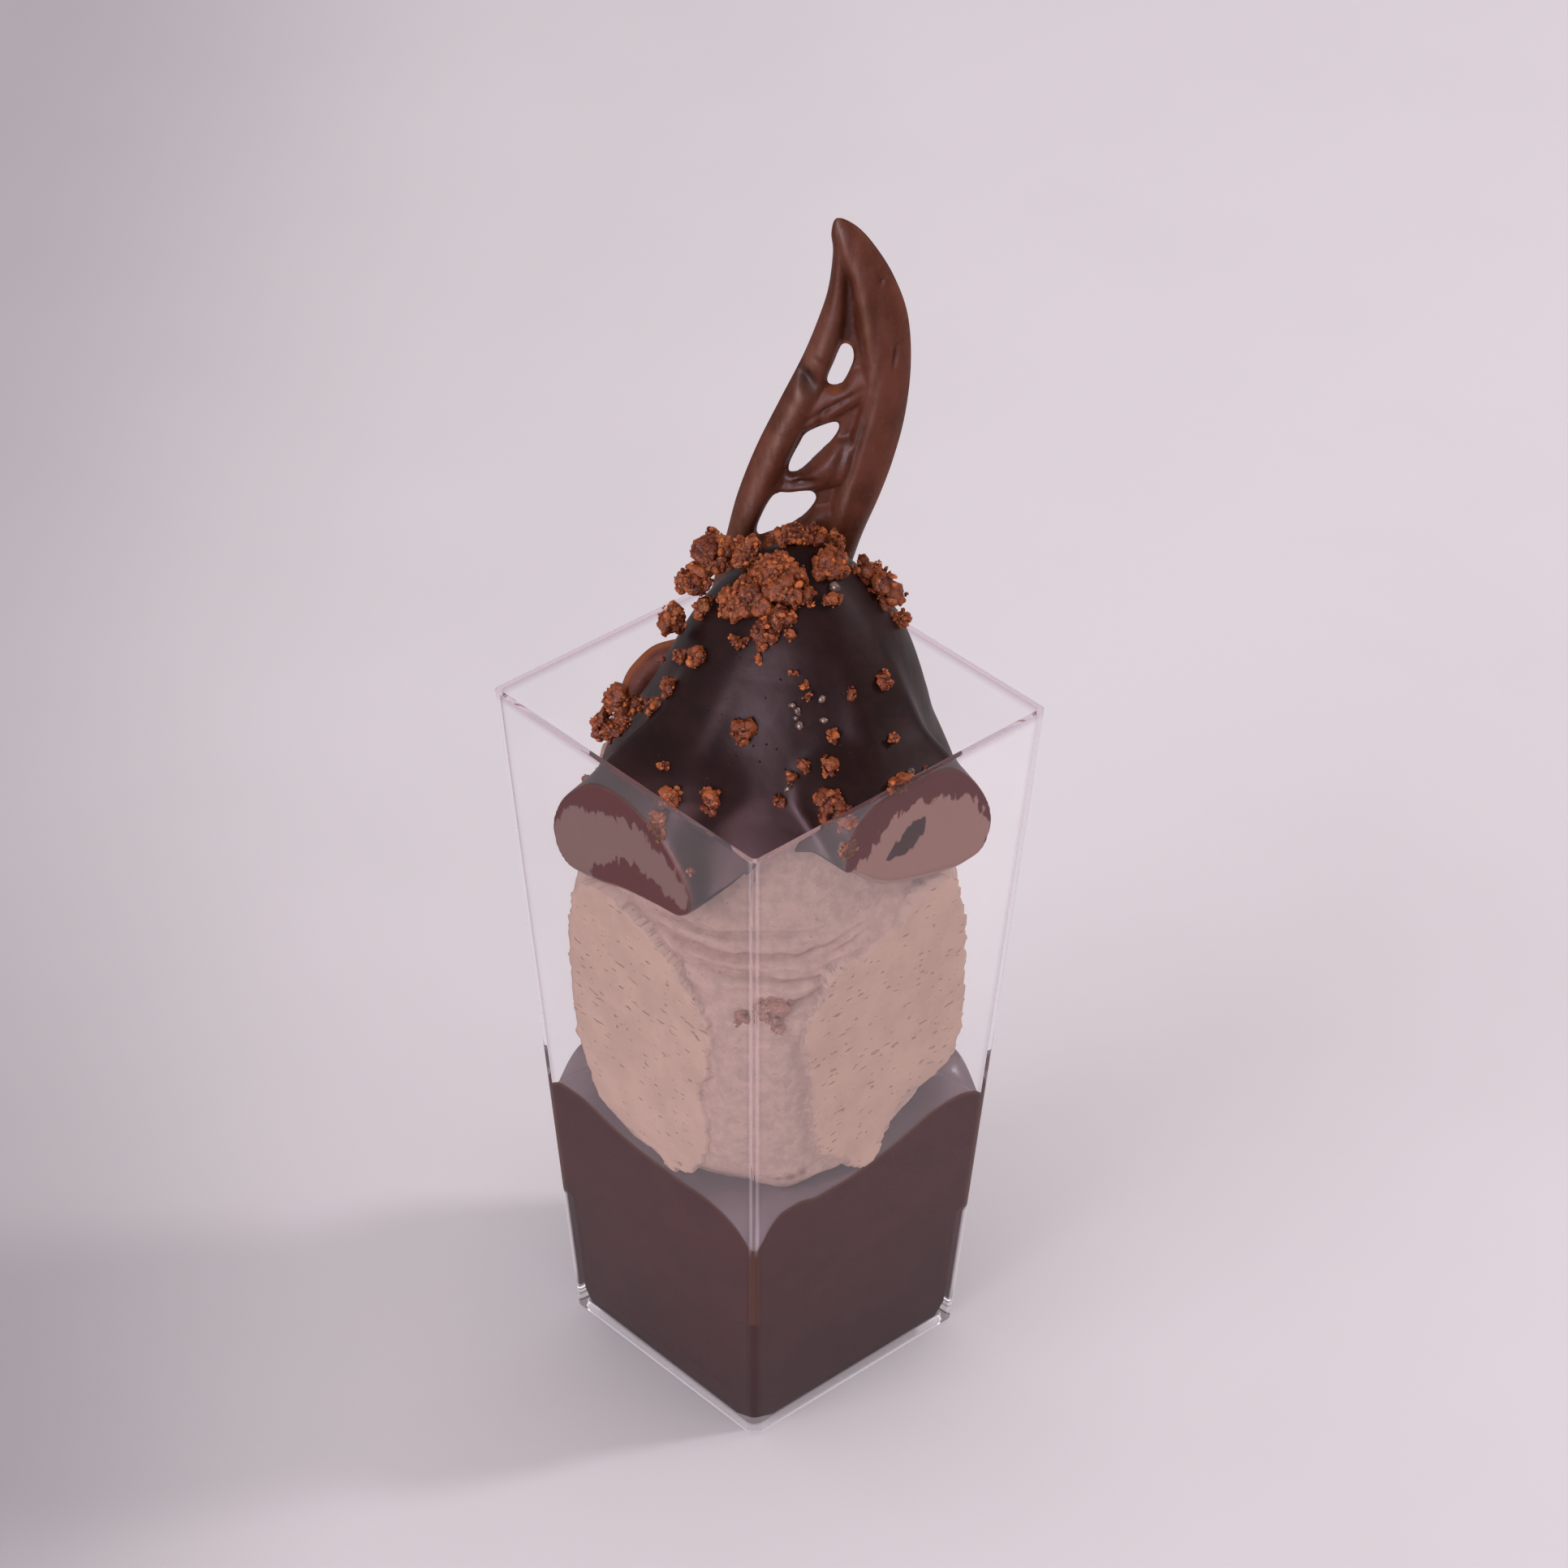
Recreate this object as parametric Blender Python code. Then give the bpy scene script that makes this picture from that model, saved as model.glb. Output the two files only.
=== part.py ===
"""Chocolate mousse in its square clear cup.

A dark chocolate layer fills the foot of a tapered square cup.  A column of coffee mousse stands
on it, a dark chocolate dome covers the column, and an openwork chocolate leaf stands in the back
of the dome.  The cup stands on its foot at z = 0, with its axis on Z and its sides along X and Y.
The object faces its corner at +X, -Y: "lateral" is measured along the diagonal to the corner at
+X, +Y, and "depth" along the diagonal to the back corner at -X, +Y.

Lengths are in millimetres and become metres where a mesh is made.
"""

import math

import bmesh
import bpy
import numpy as np
from mathutils import Vector

OBJECT_NAME = "chocolate_mousse_cup"
MM = 0.001
GAP = 0.3                       # clearance between pieces that touch

# Cup: a thin square beaker, wider at the rim, with a low foot and a stacking rib in each corner.
CUP_HEIGHT = 92.3
CUP_TOP_SIDE = 45.0
CUP_BASE_SIDE = 33.2
CUP_WALL = 0.7
CUP_CORNER_RADIUS = 0.9
CUP_INNER_CORNER = 0.35
CORNER_SEGMENTS = 3
FLOOR_TOP = 2.2
FOOT_HOLLOW = 1.0
FOOT_RIM_WIDTH = 1.3
FOOT_CORNER_RADIUS = 0.6
FOOT_DRAFT = 0.2
OVERSHOOT = 1.0                 # how far a cutter runs past the face it opens
RIB_LEG = 1.8
RIB_SLOPE_LOW = 17.6
RIB_SLOPE_HIGH = 18.9
WALL_SLOPE = (CUP_TOP_SIDE - CUP_BASE_SIDE) / 2 / CUP_HEIGHT

# Chocolate layer: a pourable layer with a low mound beside each corner and a dip in it.
LAYER_LEVEL = 35.8
LAYER_RISE_TO_BACK = 0.07
LAYER_RISE_TO_RIGHT = 0.03
MOUND_HEIGHT = 1.6
MOUND_FROM_CORNER = 6.5
MOUND_WIDTH = 3.6
CORNER_DIP = 1.8
CORNER_DIP_WIDTH = 2.2
LAYER_POINTS_PER_SIDE = 20
LAYER_STRAIGHT_TOP = 29.0
LAYER_SHARES = (1.0, 0.95, 0.89, 0.82, 0.74, 0.62, 0.4, 0.18)      # rings of its top, inwards
RIB_SPARE = 0.6                 # how far above the ribs the layer widens

# Coffee mousse: a round column (height, radius), pressed flat where it meets the four walls.
# It is undercut at its foot, except towards the two side corners, where it stays full.
MOUSSE_PROFILE = ((34.0, 15.0), (36.0, 16.6), (38.0, 19.0), (40.0, 20.4), (44.0, 21.7),
                  (50.0, 22.8), (57.0, 23.4), (62.0, 23.2), (66.0, 22.2), (70.0, 21.0),
                  (75.0, 20.2), (84.0, 19.1))
MOUSSE_SIDES = ((34.0, 22.0), (40.0, 22.4), (48.0, 22.6), (58.0, 22.9), (64.0, 22.3),
                (68.0, 21.7), (75.0, 20.6), (84.0, 19.1))
MOUSSE_LEAN_START = 60.0
MOUSSE_LEAN_END = 76.0
MOUSSE_CORE_TOP = 88.0
FOOT_SHARES = (0.3, 0.58, 0.74, 0.84, 0.92, 1.0)                   # rings of its foot, outwards
SIDE_SHARES = (0.06, 0.13, 0.22, 0.33, 0.46, 0.58, 0.68, 0.76, 0.84, 0.92, 1.0)   # upwards
TOP_SHARES = (0.2, 0.4, 0.62, 0.82)     # rings where mousse and dome meet, outwards

# Dome: its free profile (height, radius), its lobes towards the walls, and its lower edge.
DOME_APEX = 111.4
DOME_PROFILE = ((70.0, 24.0), (76.0, 22.0), (80.0, 20.6), (84.0, 19.0), (88.0, 17.3),
                (92.0, 15.6), (96.0, 13.9), (100.0, 11.9), (104.0, 9.3), (106.0, 7.8),
                (108.0, 5.9), (110.0, 3.4), (DOME_APEX, 0.0))
DOME_LOBES = ((70.0, 4.0), (76.0, 7.8), (80.0, 9.4), (84.0, 9.4), (88.0, 8.2), (91.0, 6.6),
              (94.0, 4.8), (98.0, 2.7), (102.0, 1.1), (107.0, 0.1), (DOME_APEX, 0.0))
LOBES_FADE = (-0.4, 0.2)        # cosine of the angle from the front corner, from none to full
DOME_LATERAL = ((72.0, 1.0), (84.0, 1.2), (92.0, 2.1), (97.0, 2.4), (105.0, 2.4),
                (DOME_APEX, 3.1))
DOME_DEPTH = 2.5
LOBE_HALF_ANGLES = ((74.0, 30.0), (80.0, 28.0), (85.0, 25.0), (90.0, 21.0), (100.0, 20.0))
LOBE_FLATNESS = 5
EDGE_AT_WALLS = (74.0, 74.0, 73.5, 72.8)      # towards +X, +Y, -X, -Y
EDGE_AT_CORNERS = (81.5, 82.0, 81.0, 83.4)    # towards +X+Y, -X+Y, -X-Y, +X-Y
EDGE_SHARPNESS = 1.6
LIP_HEIGHT = 3.0
DOME_SHARES = (0.035, 0.08, 0.15, 0.24, 0.34, 0.44, 0.54, 0.63, 0.71, 0.79, 0.86, 0.92, 0.965,
               0.99)            # rings from the lower edge up to the apex

ROUND_STEPS = 72
SOFTNESS = 22.0                 # larger values turn sharper from round to flat

# Leaf: limbs of a moulded openwork leaf, as (lateral, height, radius), on one upright plane.
LEAF_DEPTH = 11.0
LEAF_FLATNESS = 0.62
LEAF_POCKET = 0.45
STEM = ((6.4, 149.0, 0.35), (6.6, 146.0, 0.9), (6.8, 143.0, 1.0), (6.7, 140.0, 1.2),
        (6.1, 136.0, 1.6), (4.9, 132.0, 1.8), (3.6, 128.0, 1.9), (0.3, 120.0, 1.9),
        (-2.5, 112.0, 1.9), (-4.6, 104.0, 1.8), (-6.2, 96.0, 1.8), (-6.9, 90.5, 1.7))
LIMB = ((6.6, 149.1, 0.3), (8.0, 146.9, 1.6), (9.4, 144.0, 2.2), (10.9, 140.0, 2.7),
        (11.7, 136.0, 2.9), (12.2, 131.0, 2.7), (12.0, 126.0, 2.6), (10.8, 120.0, 2.7),
        (8.8, 112.0, 2.5), (6.6, 104.5, 2.4), (4.4, 97.0, 2.3), (3.0, 91.5, 2.2))
CURL = ((-6.2, 90.4, 1.8), (-9.5, 90.8, 1.9), (-12.6, 89.7, 2.0), (-14.8, 87.3, 2.0),
        (-15.9, 84.4, 1.8), (-15.8, 82.2, 1.2))
WEB = ((7.7, 142.5, 0.8), (8.2, 138.0, 1.0), (8.0, 133.6, 1.0))
STRUTS = (((1.8, 122.6, 1.5), (5.4, 125.2, 2.1), (8.6, 127.6, 2.1), (11.8, 130.0, 1.6)),
          ((-1.6, 113.4, 1.4), (1.9, 114.9, 1.8), (6.2, 117.6, 3.0), (10.0, 119.8, 2.0)),
          ((-4.2, 104.4, 1.4), (0.6, 106.4, 2.0), (5.0, 109.2, 2.4), (8.2, 111.2, 1.6)))
LIMB_STEPS = 16
CURL_STEPS = 10
STRUT_STEPS = 5
LIMB_ROUNDNESS = 3              # curve bevel resolution
WELD = 0.02                     # points of a limb nearer than this become one

COLOURS = {
    "cup": (0.90, 0.88, 0.90),
    "chocolate_layer": (0.085, 0.042, 0.040),
    "coffee_mousse": (0.50, 0.33, 0.27),
    "chocolate_dome": (0.028, 0.014, 0.012),
    "chocolate_leaf": (0.085, 0.028, 0.016),
}


# ---------------------------------------------------------------- scene and materials

def clear_scene():
    """Remove the objects, meshes, curves and collections that are already open."""
    for thing in list(bpy.data.objects):
        bpy.data.objects.remove(thing, do_unlink=True)
    for group in list(bpy.data.collections):
        bpy.data.collections.remove(group)


def new_collection(name):
    """Return a collection linked to the scene."""
    group = bpy.data.collections.new(name)
    bpy.context.scene.collection.children.link(group)
    return group


def plain_material(name, roughness, transmission=0.0):
    """Return a Principled material in the piece's colour."""
    material = bpy.data.materials.new(name)
    material.use_nodes = True
    shader = material.node_tree.nodes["Principled BSDF"]
    shader.inputs["Base Color"].default_value = (*COLOURS[name], 1.0)
    shader.inputs["Roughness"].default_value = roughness
    shader.inputs["Metallic"].default_value = 0.0
    shader.inputs["Transmission Weight"].default_value = transmission
    return material


# ---------------------------------------------------------------- formulas

def smooth_step(value, low, high):
    """Rise smoothly from 0 at low to 1 at high."""
    share = np.clip((value - low) / (high - low), 0.0, 1.0)
    return share * share * (3.0 - 2.0 * share)


def through(knots, value):
    """Read a smooth curve through (position, height) knots with monotone slopes."""
    place, height = np.array(knots, dtype=float).T
    step = np.diff(place)
    slope = np.diff(height) / step
    tangent = np.zeros(len(place))
    same_way = slope[:-1] * slope[1:] > 0
    mean = 2.0 * slope[:-1] * slope[1:] / np.where(same_way, slope[:-1] + slope[1:], 1.0)
    tangent[1:-1] = np.where(same_way, mean, 0.0)
    tangent[0], tangent[-1] = slope[0], slope[-1]
    value = np.clip(value, place[0], place[-1])
    index = np.clip(np.searchsorted(place, value, side="right") - 1, 0, len(step) - 1)
    share = (value - place[index]) / step[index]
    rest = 1.0 - share
    start = (1.0 + 2.0 * share) * rest * rest * height[index]
    end = share * share * (3.0 - 2.0 * share) * height[index + 1]
    leave = share * rest * rest * tangent[index] * step[index]
    arrive = share * share * rest * tangent[index + 1] * step[index]
    return start + end + leave - arrive


def on_diagonals(lateral, depth):
    """Turn lateral and depth into x and y."""
    turn = math.sqrt(0.5)
    return (lateral - depth) * turn, (lateral + depth) * turn


def inner_half(height):
    """Half the width of the cup's inside at a height."""
    return CUP_BASE_SIDE / 2 + WALL_SLOPE * height - CUP_WALL


def wall_distance(centre_x, centre_y, angle, height):
    """Distance from a centre to the nearest wall in a direction, less the clearance."""
    half = inner_half(height) - GAP
    across, along = np.cos(angle), np.sin(angle)
    to_x = (half - np.sign(across) * centre_x) / np.maximum(np.abs(across), 1e-9)
    to_y = (half - np.sign(along) * centre_y) / np.maximum(np.abs(along), 1e-9)
    return np.minimum(to_x, to_y)


def soft_minimum(first, second):
    """The smaller of two lengths, rounded where they are close."""
    return (first ** -SOFTNESS + second ** -SOFTNESS) ** (-1.0 / SOFTNESS)


def layer_top(x, y):
    """Height of the chocolate layer: a gentle slope, mounds beside the corners, a dip in each."""
    half = inner_half(LAYER_LEVEL)
    back, right = (y - x) * math.sqrt(0.5), (x + y) * math.sqrt(0.5)
    from_corner = np.hypot(half - np.abs(x), half - np.abs(y))
    mound = MOUND_HEIGHT * np.exp(-((from_corner - MOUND_FROM_CORNER) / MOUND_WIDTH) ** 2)
    dip = CORNER_DIP * np.exp(-(from_corner / CORNER_DIP_WIDTH) ** 2)
    return LAYER_LEVEL + LAYER_RISE_TO_BACK * back + LAYER_RISE_TO_RIGHT * right + mound - dip


def lobe_share(angle, height):
    """1 towards the two front walls, and nearly 0 towards the corners and the back walls."""
    from_wall = np.abs((angle + math.pi / 4) % (math.pi / 2) - math.pi / 4)
    strength = smooth_step(np.cos(angle + math.pi / 4), *LOBES_FADE)
    half_angle = np.radians(through(LOBE_HALF_ANGLES, height))
    return strength / (1.0 + (from_wall / half_angle) ** LOBE_FLATNESS)


def edge_height(angle):
    """Height of the dome's lower edge: low at the four walls, arched at the four corners."""
    quarter = (angle % (2 * math.pi)) / (math.pi / 2)
    wall = np.round(quarter).astype(int) % 4
    corner = np.floor(quarter).astype(int) % 4
    low, high = np.array(EDGE_AT_WALLS)[wall], np.array(EDGE_AT_CORNERS)[corner]
    share = (0.5 - 0.5 * np.cos(4.0 * angle)) ** EDGE_SHARPNESS
    return low + (high - low) * share


def mousse_centre(height):
    """The column stands upright and leans back towards its top."""
    depth = DOME_DEPTH * smooth_step(height, MOUSSE_LEAN_START, MOUSSE_LEAN_END)
    return on_diagonals(0.0, depth)


def mousse_radius(angle, height):
    """Column radius about its centre, full towards the side corners, flat on the walls."""
    x, y = mousse_centre(height)
    sideways = np.sin(angle + math.pi / 4) ** 4
    main, side = through(MOUSSE_PROFILE, height), through(MOUSSE_SIDES, height)
    free = main + (side - main) * sideways
    return soft_minimum(free, wall_distance(x, y, angle, height))


def dome_centre(height):
    """The dome's centre line, which drifts to the right as it rises."""
    return on_diagonals(through(DOME_LATERAL, height), DOME_DEPTH)


def dome_radius(angle, height):
    """Dome radius about its centre line, with lobes that press on the walls."""
    x, y = dome_centre(height)
    lobes = through(DOME_LOBES, height) * lobe_share(angle, height)
    free = np.maximum(through(DOME_PROFILE, height) + lobes, 1e-6)
    return soft_minimum(free, wall_distance(x, y, angle, height))


# ---------------------------------------------------------------- mesh tools

def finish_object(name, mesh, group, material=None):
    """Make an object from a mesh, smooth its round faces and put it in a collection."""
    thing = bpy.data.objects.new(name, mesh)
    group.objects.link(thing)
    if material:
        mesh.materials.append(material)
        mesh.shade_smooth()
        mesh.set_sharp_from_angle(angle=math.radians(35.0))
    else:
        thing.hide_render = True
        thing.display_type = "WIRE"
    return thing


def loft_mesh(name, rings, low_pole=None, high_pole=None):
    """Skin a stack of rings, each counter-clockwise from above, and close both ends."""
    levels, steps, _ = rings.shape
    points = [tuple(point) for point in (rings * MM).reshape(-1, 3)]
    faces = []
    for level in range(levels - 1):
        for step in range(steps):
            after = (step + 1) % steps
            faces.append((level * steps + step, level * steps + after,
                          (level + 1) * steps + after, (level + 1) * steps + step))
    first, last = list(range(steps)), list(range((levels - 1) * steps, levels * steps))
    if low_pole is None:
        faces.append(tuple(reversed(first)))
    else:
        points.append(tuple(c * MM for c in low_pole))
        faces += [(first[(i + 1) % steps], first[i], len(points) - 1) for i in range(steps)]
    if high_pole is None:
        faces.append(tuple(last))
    else:
        points.append(tuple(c * MM for c in high_pole))
        faces += [(last[i], last[(i + 1) % steps], len(points) - 1) for i in range(steps)]
    mesh = bpy.data.meshes.new(name)
    mesh.from_pydata(points, [], faces)
    return mesh


def tapered_box(name, low_half, high_half, low, high, corner_radius):
    """A cube drawn to two square ends, with rounded upright edges."""
    shape = bmesh.new()
    bmesh.ops.create_cube(shape, size=2.0)
    for vertex in shape.verts:
        half, height = (high_half, high) if vertex.co.z > 0 else (low_half, low)
        side = (math.copysign(half, vertex.co.x), math.copysign(half, vertex.co.y), height)
        vertex.co = Vector(side) * MM
    if corner_radius:
        upright = [edge for edge in shape.edges if abs(edge.verts[0].co.z - edge.verts[1].co.z) > MM]
        bmesh.ops.bevel(shape, geom=upright, offset=corner_radius * MM, profile=0.5,
                        segments=CORNER_SEGMENTS, affect="EDGES", offset_type="OFFSET")
    mesh = bpy.data.meshes.new(name)
    shape.to_mesh(mesh)
    shape.free()
    return mesh


def cut(thing, cutter):
    """Subtract a cutter from a piece."""
    modifier = thing.modifiers.new("cut_" + cutter.name, "BOOLEAN")
    modifier.operation = "DIFFERENCE"
    modifier.solver = "EXACT"
    modifier.object = cutter


def join(thing, other):
    """Unite another shape with a piece."""
    modifier = thing.modifiers.new("join_" + other.name, "BOOLEAN")
    modifier.operation = "UNION"
    modifier.solver = "EXACT"
    modifier.object = other


# ---------------------------------------------------------------- the cup

def chamfered_square(half, leg, height):
    """Eight points of a square with cut corners."""
    short = half - leg
    corner = [(half, -short), (half, short), (short, half), (-short, half),
              (-half, short), (-half, -short), (-short, -half), (short, -half)]
    return [(x, y, height) for x, y in corner]


def make_cup(group, cutters):
    """Tapered walls around a cavity with corner ribs, over a hollow foot."""
    walls = tapered_box("cup", CUP_BASE_SIDE / 2, CUP_TOP_SIDE / 2, 0.0, CUP_HEIGHT,
                        CUP_CORNER_RADIUS)
    cup = finish_object("cup", walls, group, plain_material("cup", 0.05, 1.0))
    levels = ((FLOOR_TOP, RIB_LEG), (RIB_SLOPE_LOW, RIB_LEG), (RIB_SLOPE_HIGH, CUP_INNER_CORNER),
              (CUP_HEIGHT + OVERSHOOT, CUP_INNER_CORNER))
    rings = np.array([chamfered_square(inner_half(z), leg, z) for z, leg in levels])
    cut(cup, finish_object("cavity", loft_mesh("cavity", rings), cutters))
    foot_half = CUP_BASE_SIDE / 2 - FOOT_RIM_WIDTH
    hollow = tapered_box("foot_hollow", foot_half, foot_half - FOOT_DRAFT, -OVERSHOOT,
                         FOOT_HOLLOW, FOOT_CORNER_RADIUS)
    cut(cup, finish_object("foot_hollow", hollow, cutters))
    return cup


# ---------------------------------------------------------------- what fills it

def layer_outline(height, leg):
    """A square outline with cut corners and evenly spaced points along its sides."""
    half = inner_half(height) - GAP
    along = np.linspace(-1.0, 1.0, LAYER_POINTS_PER_SIDE) * (half - leg)
    across = np.full_like(along, half)
    x = np.concatenate([across, -along, -across, along])
    y = np.concatenate([along, across, -along, -across])
    return np.stack([x, y, np.full_like(x, height)], axis=1)


def make_layer(group):
    """The dark chocolate layer, from the cup's floor to its uneven top."""
    levels = ((FLOOR_TOP + GAP, RIB_LEG), (RIB_SLOPE_LOW + RIB_SPARE, RIB_LEG),
              (RIB_SLOPE_HIGH + RIB_SPARE, CUP_INNER_CORNER),
              (LAYER_STRAIGHT_TOP, CUP_INNER_CORNER))
    rings = [layer_outline(z, leg) for z, leg in levels]
    rim = layer_outline(LAYER_LEVEL, CUP_INNER_CORNER)
    for share in LAYER_SHARES:
        ring = rim * (share, share, 1.0)
        ring[:, 2] = layer_top(ring[:, 0], ring[:, 1])
        if share == 1.0:
            rise = WALL_SLOPE * (ring[:, 2] - LAYER_LEVEL)
            ring[:, :2] *= 1.0 + rise[:, None] / inner_half(LAYER_LEVEL)
        rings.append(ring)
    poles = (0.0, 0.0, FLOOR_TOP + GAP), (0.0, 0.0, float(layer_top(0.0, 0.0)))
    mesh = loft_mesh("chocolate_layer", np.array(rings), *poles)
    return finish_object("chocolate_layer", mesh, group, plain_material("chocolate_layer", 0.45))


def ring_at(centre, radius, angle, height):
    """Points at a radius from a centre, at given heights."""
    x, y = centre
    return np.stack([x + radius * np.cos(angle), y + radius * np.sin(angle),
                     height + 0.0 * angle], axis=1)


def interface(angle, share):
    """Height of the surface between mousse and dome, from its middle out to its edge."""
    return MOUSSE_CORE_TOP + (edge_height(angle) - MOUSSE_CORE_TOP) * share ** 3


def make_mousse(group):
    """The coffee mousse column, from the chocolate layer up into the dome."""
    angle = np.arange(ROUND_STEPS) * 2 * math.pi / ROUND_STEPS
    edge = edge_height(angle)
    rings = []
    foot = mousse_radius(angle, np.full(ROUND_STEPS, LAYER_LEVEL + GAP))
    for share in FOOT_SHARES:
        ring = ring_at((0.0, 0.0), foot * share, angle, 0.0)
        ring[:, 2] = layer_top(ring[:, 0], ring[:, 1]) + GAP
        rings.append(ring)
    bottom = rings[-1][:, 2]
    for share in SIDE_SHARES:
        height = bottom + (edge - bottom) * share
        rings.append(ring_at(mousse_centre(height), mousse_radius(angle, height), angle, height))
    rim = mousse_radius(angle, edge)
    for share in reversed(TOP_SHARES):
        height = interface(angle, share)
        rings.append(ring_at(mousse_centre(edge), rim * share, angle, height))
    x, y = on_diagonals(0.0, DOME_DEPTH)
    low_pole = (0.0, 0.0, float(layer_top(0.0, 0.0)) + GAP)
    mesh = loft_mesh("coffee_mousse", np.array(rings), low_pole, (x, y, MOUSSE_CORE_TOP))
    return finish_object("coffee_mousse", mesh, group, plain_material("coffee_mousse", 0.7))


def make_dome(group):
    """The dark dome: its underside rides the mousse, its lobes press on the walls."""
    angle = np.arange(ROUND_STEPS) * 2 * math.pi / ROUND_STEPS
    edge = edge_height(angle)
    rim = mousse_radius(angle, edge)
    rings = []
    for share in (*TOP_SHARES, 1.0):
        height = interface(angle, share) + GAP
        rings.append(ring_at(mousse_centre(edge), rim * share, angle, height))
    low = edge + GAP
    for share in DOME_SHARES:
        height = low + (DOME_APEX - low) * share
        lip = np.clip((height - low) / LIP_HEIGHT, 0.0, 1.0)
        out = np.sqrt(1.0 - (1.0 - lip) ** 2)
        radius = rim + (dome_radius(angle, height) - rim) * out
        old_x, old_y = mousse_centre(edge)
        new_x, new_y = dome_centre(height)
        centre = old_x + (new_x - old_x) * out, old_y + (new_y - old_y) * out
        rings.append(ring_at(centre, radius, angle, height))
    low_pole = (*on_diagonals(0.0, DOME_DEPTH), MOUSSE_CORE_TOP + GAP)
    top_x, top_y = dome_centre(np.array(DOME_APEX))
    mesh = loft_mesh("chocolate_dome", np.array(rings), low_pole,
                     (float(top_x), float(top_y), DOME_APEX))
    return finish_object("chocolate_dome", mesh, group, plain_material("chocolate_dome", 0.3))


# ---------------------------------------------------------------- the leaf

def limb_mesh(name, knots, steps, wider=0.0):
    """A tapering round bar along a smooth route, flattened across the leaf's plane."""
    lateral, height, radius = np.array(knots).T
    travel = np.concatenate([[0.0], np.cumsum(np.hypot(np.diff(lateral), np.diff(height)))])
    stops = np.linspace(0.0, travel[-1], steps)
    route = [through(list(zip(travel, values)), stops) for values in (lateral, height, radius)]
    curve = bpy.data.curves.new(name, "CURVE")
    curve.dimensions = "3D"
    curve.bevel_depth = MM
    curve.bevel_resolution = LIMB_ROUNDNESS
    curve.use_fill_caps = True
    spline = curve.splines.new("POLY")
    spline.points.add(steps - 1)
    for point, x, z, r in zip(spline.points, *route):
        point.co = (x * MM, 0.0, z * MM, 1.0)
        point.radius = r + wider
    bar = bpy.data.objects.new(name, curve)
    bpy.context.scene.collection.objects.link(bar)
    seen = bar.evaluated_get(bpy.context.evaluated_depsgraph_get())
    mesh = bpy.data.meshes.new_from_object(seen)
    bpy.data.objects.remove(bar)
    shape = bmesh.new()
    shape.from_mesh(mesh)
    bmesh.ops.remove_doubles(shape, verts=shape.verts, dist=WELD * MM)
    bmesh.ops.scale(shape, vec=(1.0, LEAF_FLATNESS, 1.0), verts=shape.verts)
    bmesh.ops.recalc_face_normals(shape, faces=shape.faces)
    shape.to_mesh(mesh)
    shape.free()
    return mesh


def stand_leaf(thing):
    """Put a shape of the leaf's plane in its place in the cup."""
    x, y = on_diagonals(0.0, LEAF_DEPTH)
    thing.location = (x * MM, y * MM, 0.0)
    thing.rotation_euler = (0.0, 0.0, math.radians(45.0))
    return thing


def make_leaf(group, cutters, dome, mousse):
    """Stem, limb, curl and struts as one body, with a pocket for its foot in what holds it."""
    limbs = [("stem", STEM, LIMB_STEPS), ("limb", LIMB, LIMB_STEPS), ("curl", CURL, CURL_STEPS)]
    limbs.append(("web", WEB, STRUT_STEPS))
    limbs += [("strut_%d" % i, knots, STRUT_STEPS) for i, knots in enumerate(STRUTS)]
    leaf = None
    for name, knots, steps in limbs:
        mesh = limb_mesh(name, knots, steps)
        if leaf is None:
            material = plain_material("chocolate_leaf", 0.4)
            leaf = stand_leaf(finish_object("chocolate_leaf", mesh, group, material))
        else:
            join(leaf, stand_leaf(finish_object(name, mesh, cutters)))
    for name, knots, steps in limbs:
        if min(z for _, z, _ in knots) > DOME_APEX:
            continue
        mesh = limb_mesh(name + "_pocket", knots, steps, LEAF_POCKET)
        pocket = stand_leaf(finish_object(name + "_pocket", mesh, cutters))
        cut(dome, pocket)
        if name == "curl":
            cut(mousse, pocket)
    return leaf


def main():
    clear_scene()
    group, cutters = new_collection(OBJECT_NAME), new_collection("cutters")
    make_cup(group, cutters)
    make_layer(group)
    mousse = make_mousse(group)
    dome = make_dome(group)
    make_leaf(group, cutters, dome, mousse)


main()
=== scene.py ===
"""Chocolate mousse in its square clear cup: every visible piece of the dessert, its stage and camera.

The cup stands on z = 0 with its walls square to X and Y, and shows its corner at +X, -Y.  "Lateral"
runs to the corner at +X, +Y and "depth" to the back corner at -X, +Y.  An angle is counted round Z
from the shown corner, positive towards +X, +Y.  Formulas work in millimetres; meshes are in metres.
"""

import math

import bpy
import numpy as np
from mathutils import Matrix, Vector


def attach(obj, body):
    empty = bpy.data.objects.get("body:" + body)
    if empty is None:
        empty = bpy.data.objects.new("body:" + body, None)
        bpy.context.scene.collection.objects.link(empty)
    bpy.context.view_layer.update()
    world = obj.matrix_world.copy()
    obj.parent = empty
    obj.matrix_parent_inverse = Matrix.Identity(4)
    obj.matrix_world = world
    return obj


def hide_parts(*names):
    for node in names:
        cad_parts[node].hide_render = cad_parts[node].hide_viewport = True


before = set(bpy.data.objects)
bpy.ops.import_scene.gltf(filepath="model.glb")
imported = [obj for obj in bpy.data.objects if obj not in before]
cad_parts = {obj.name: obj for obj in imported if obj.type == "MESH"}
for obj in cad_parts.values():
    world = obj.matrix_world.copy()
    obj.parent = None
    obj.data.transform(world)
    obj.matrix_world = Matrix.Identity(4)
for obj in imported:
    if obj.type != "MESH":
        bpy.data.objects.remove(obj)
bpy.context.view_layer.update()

bl_info = {
    "name": "Chocolate mousse cup",
    "version": (1, 0, 0),
    "blender": (4, 5, 0),
    "location": "View3D > Sidebar > Mousse",
    "description": "Builds a square clear cup of chocolate mousse with its leaf and crumbs",
    "category": "Add Mesh",
}

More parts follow.
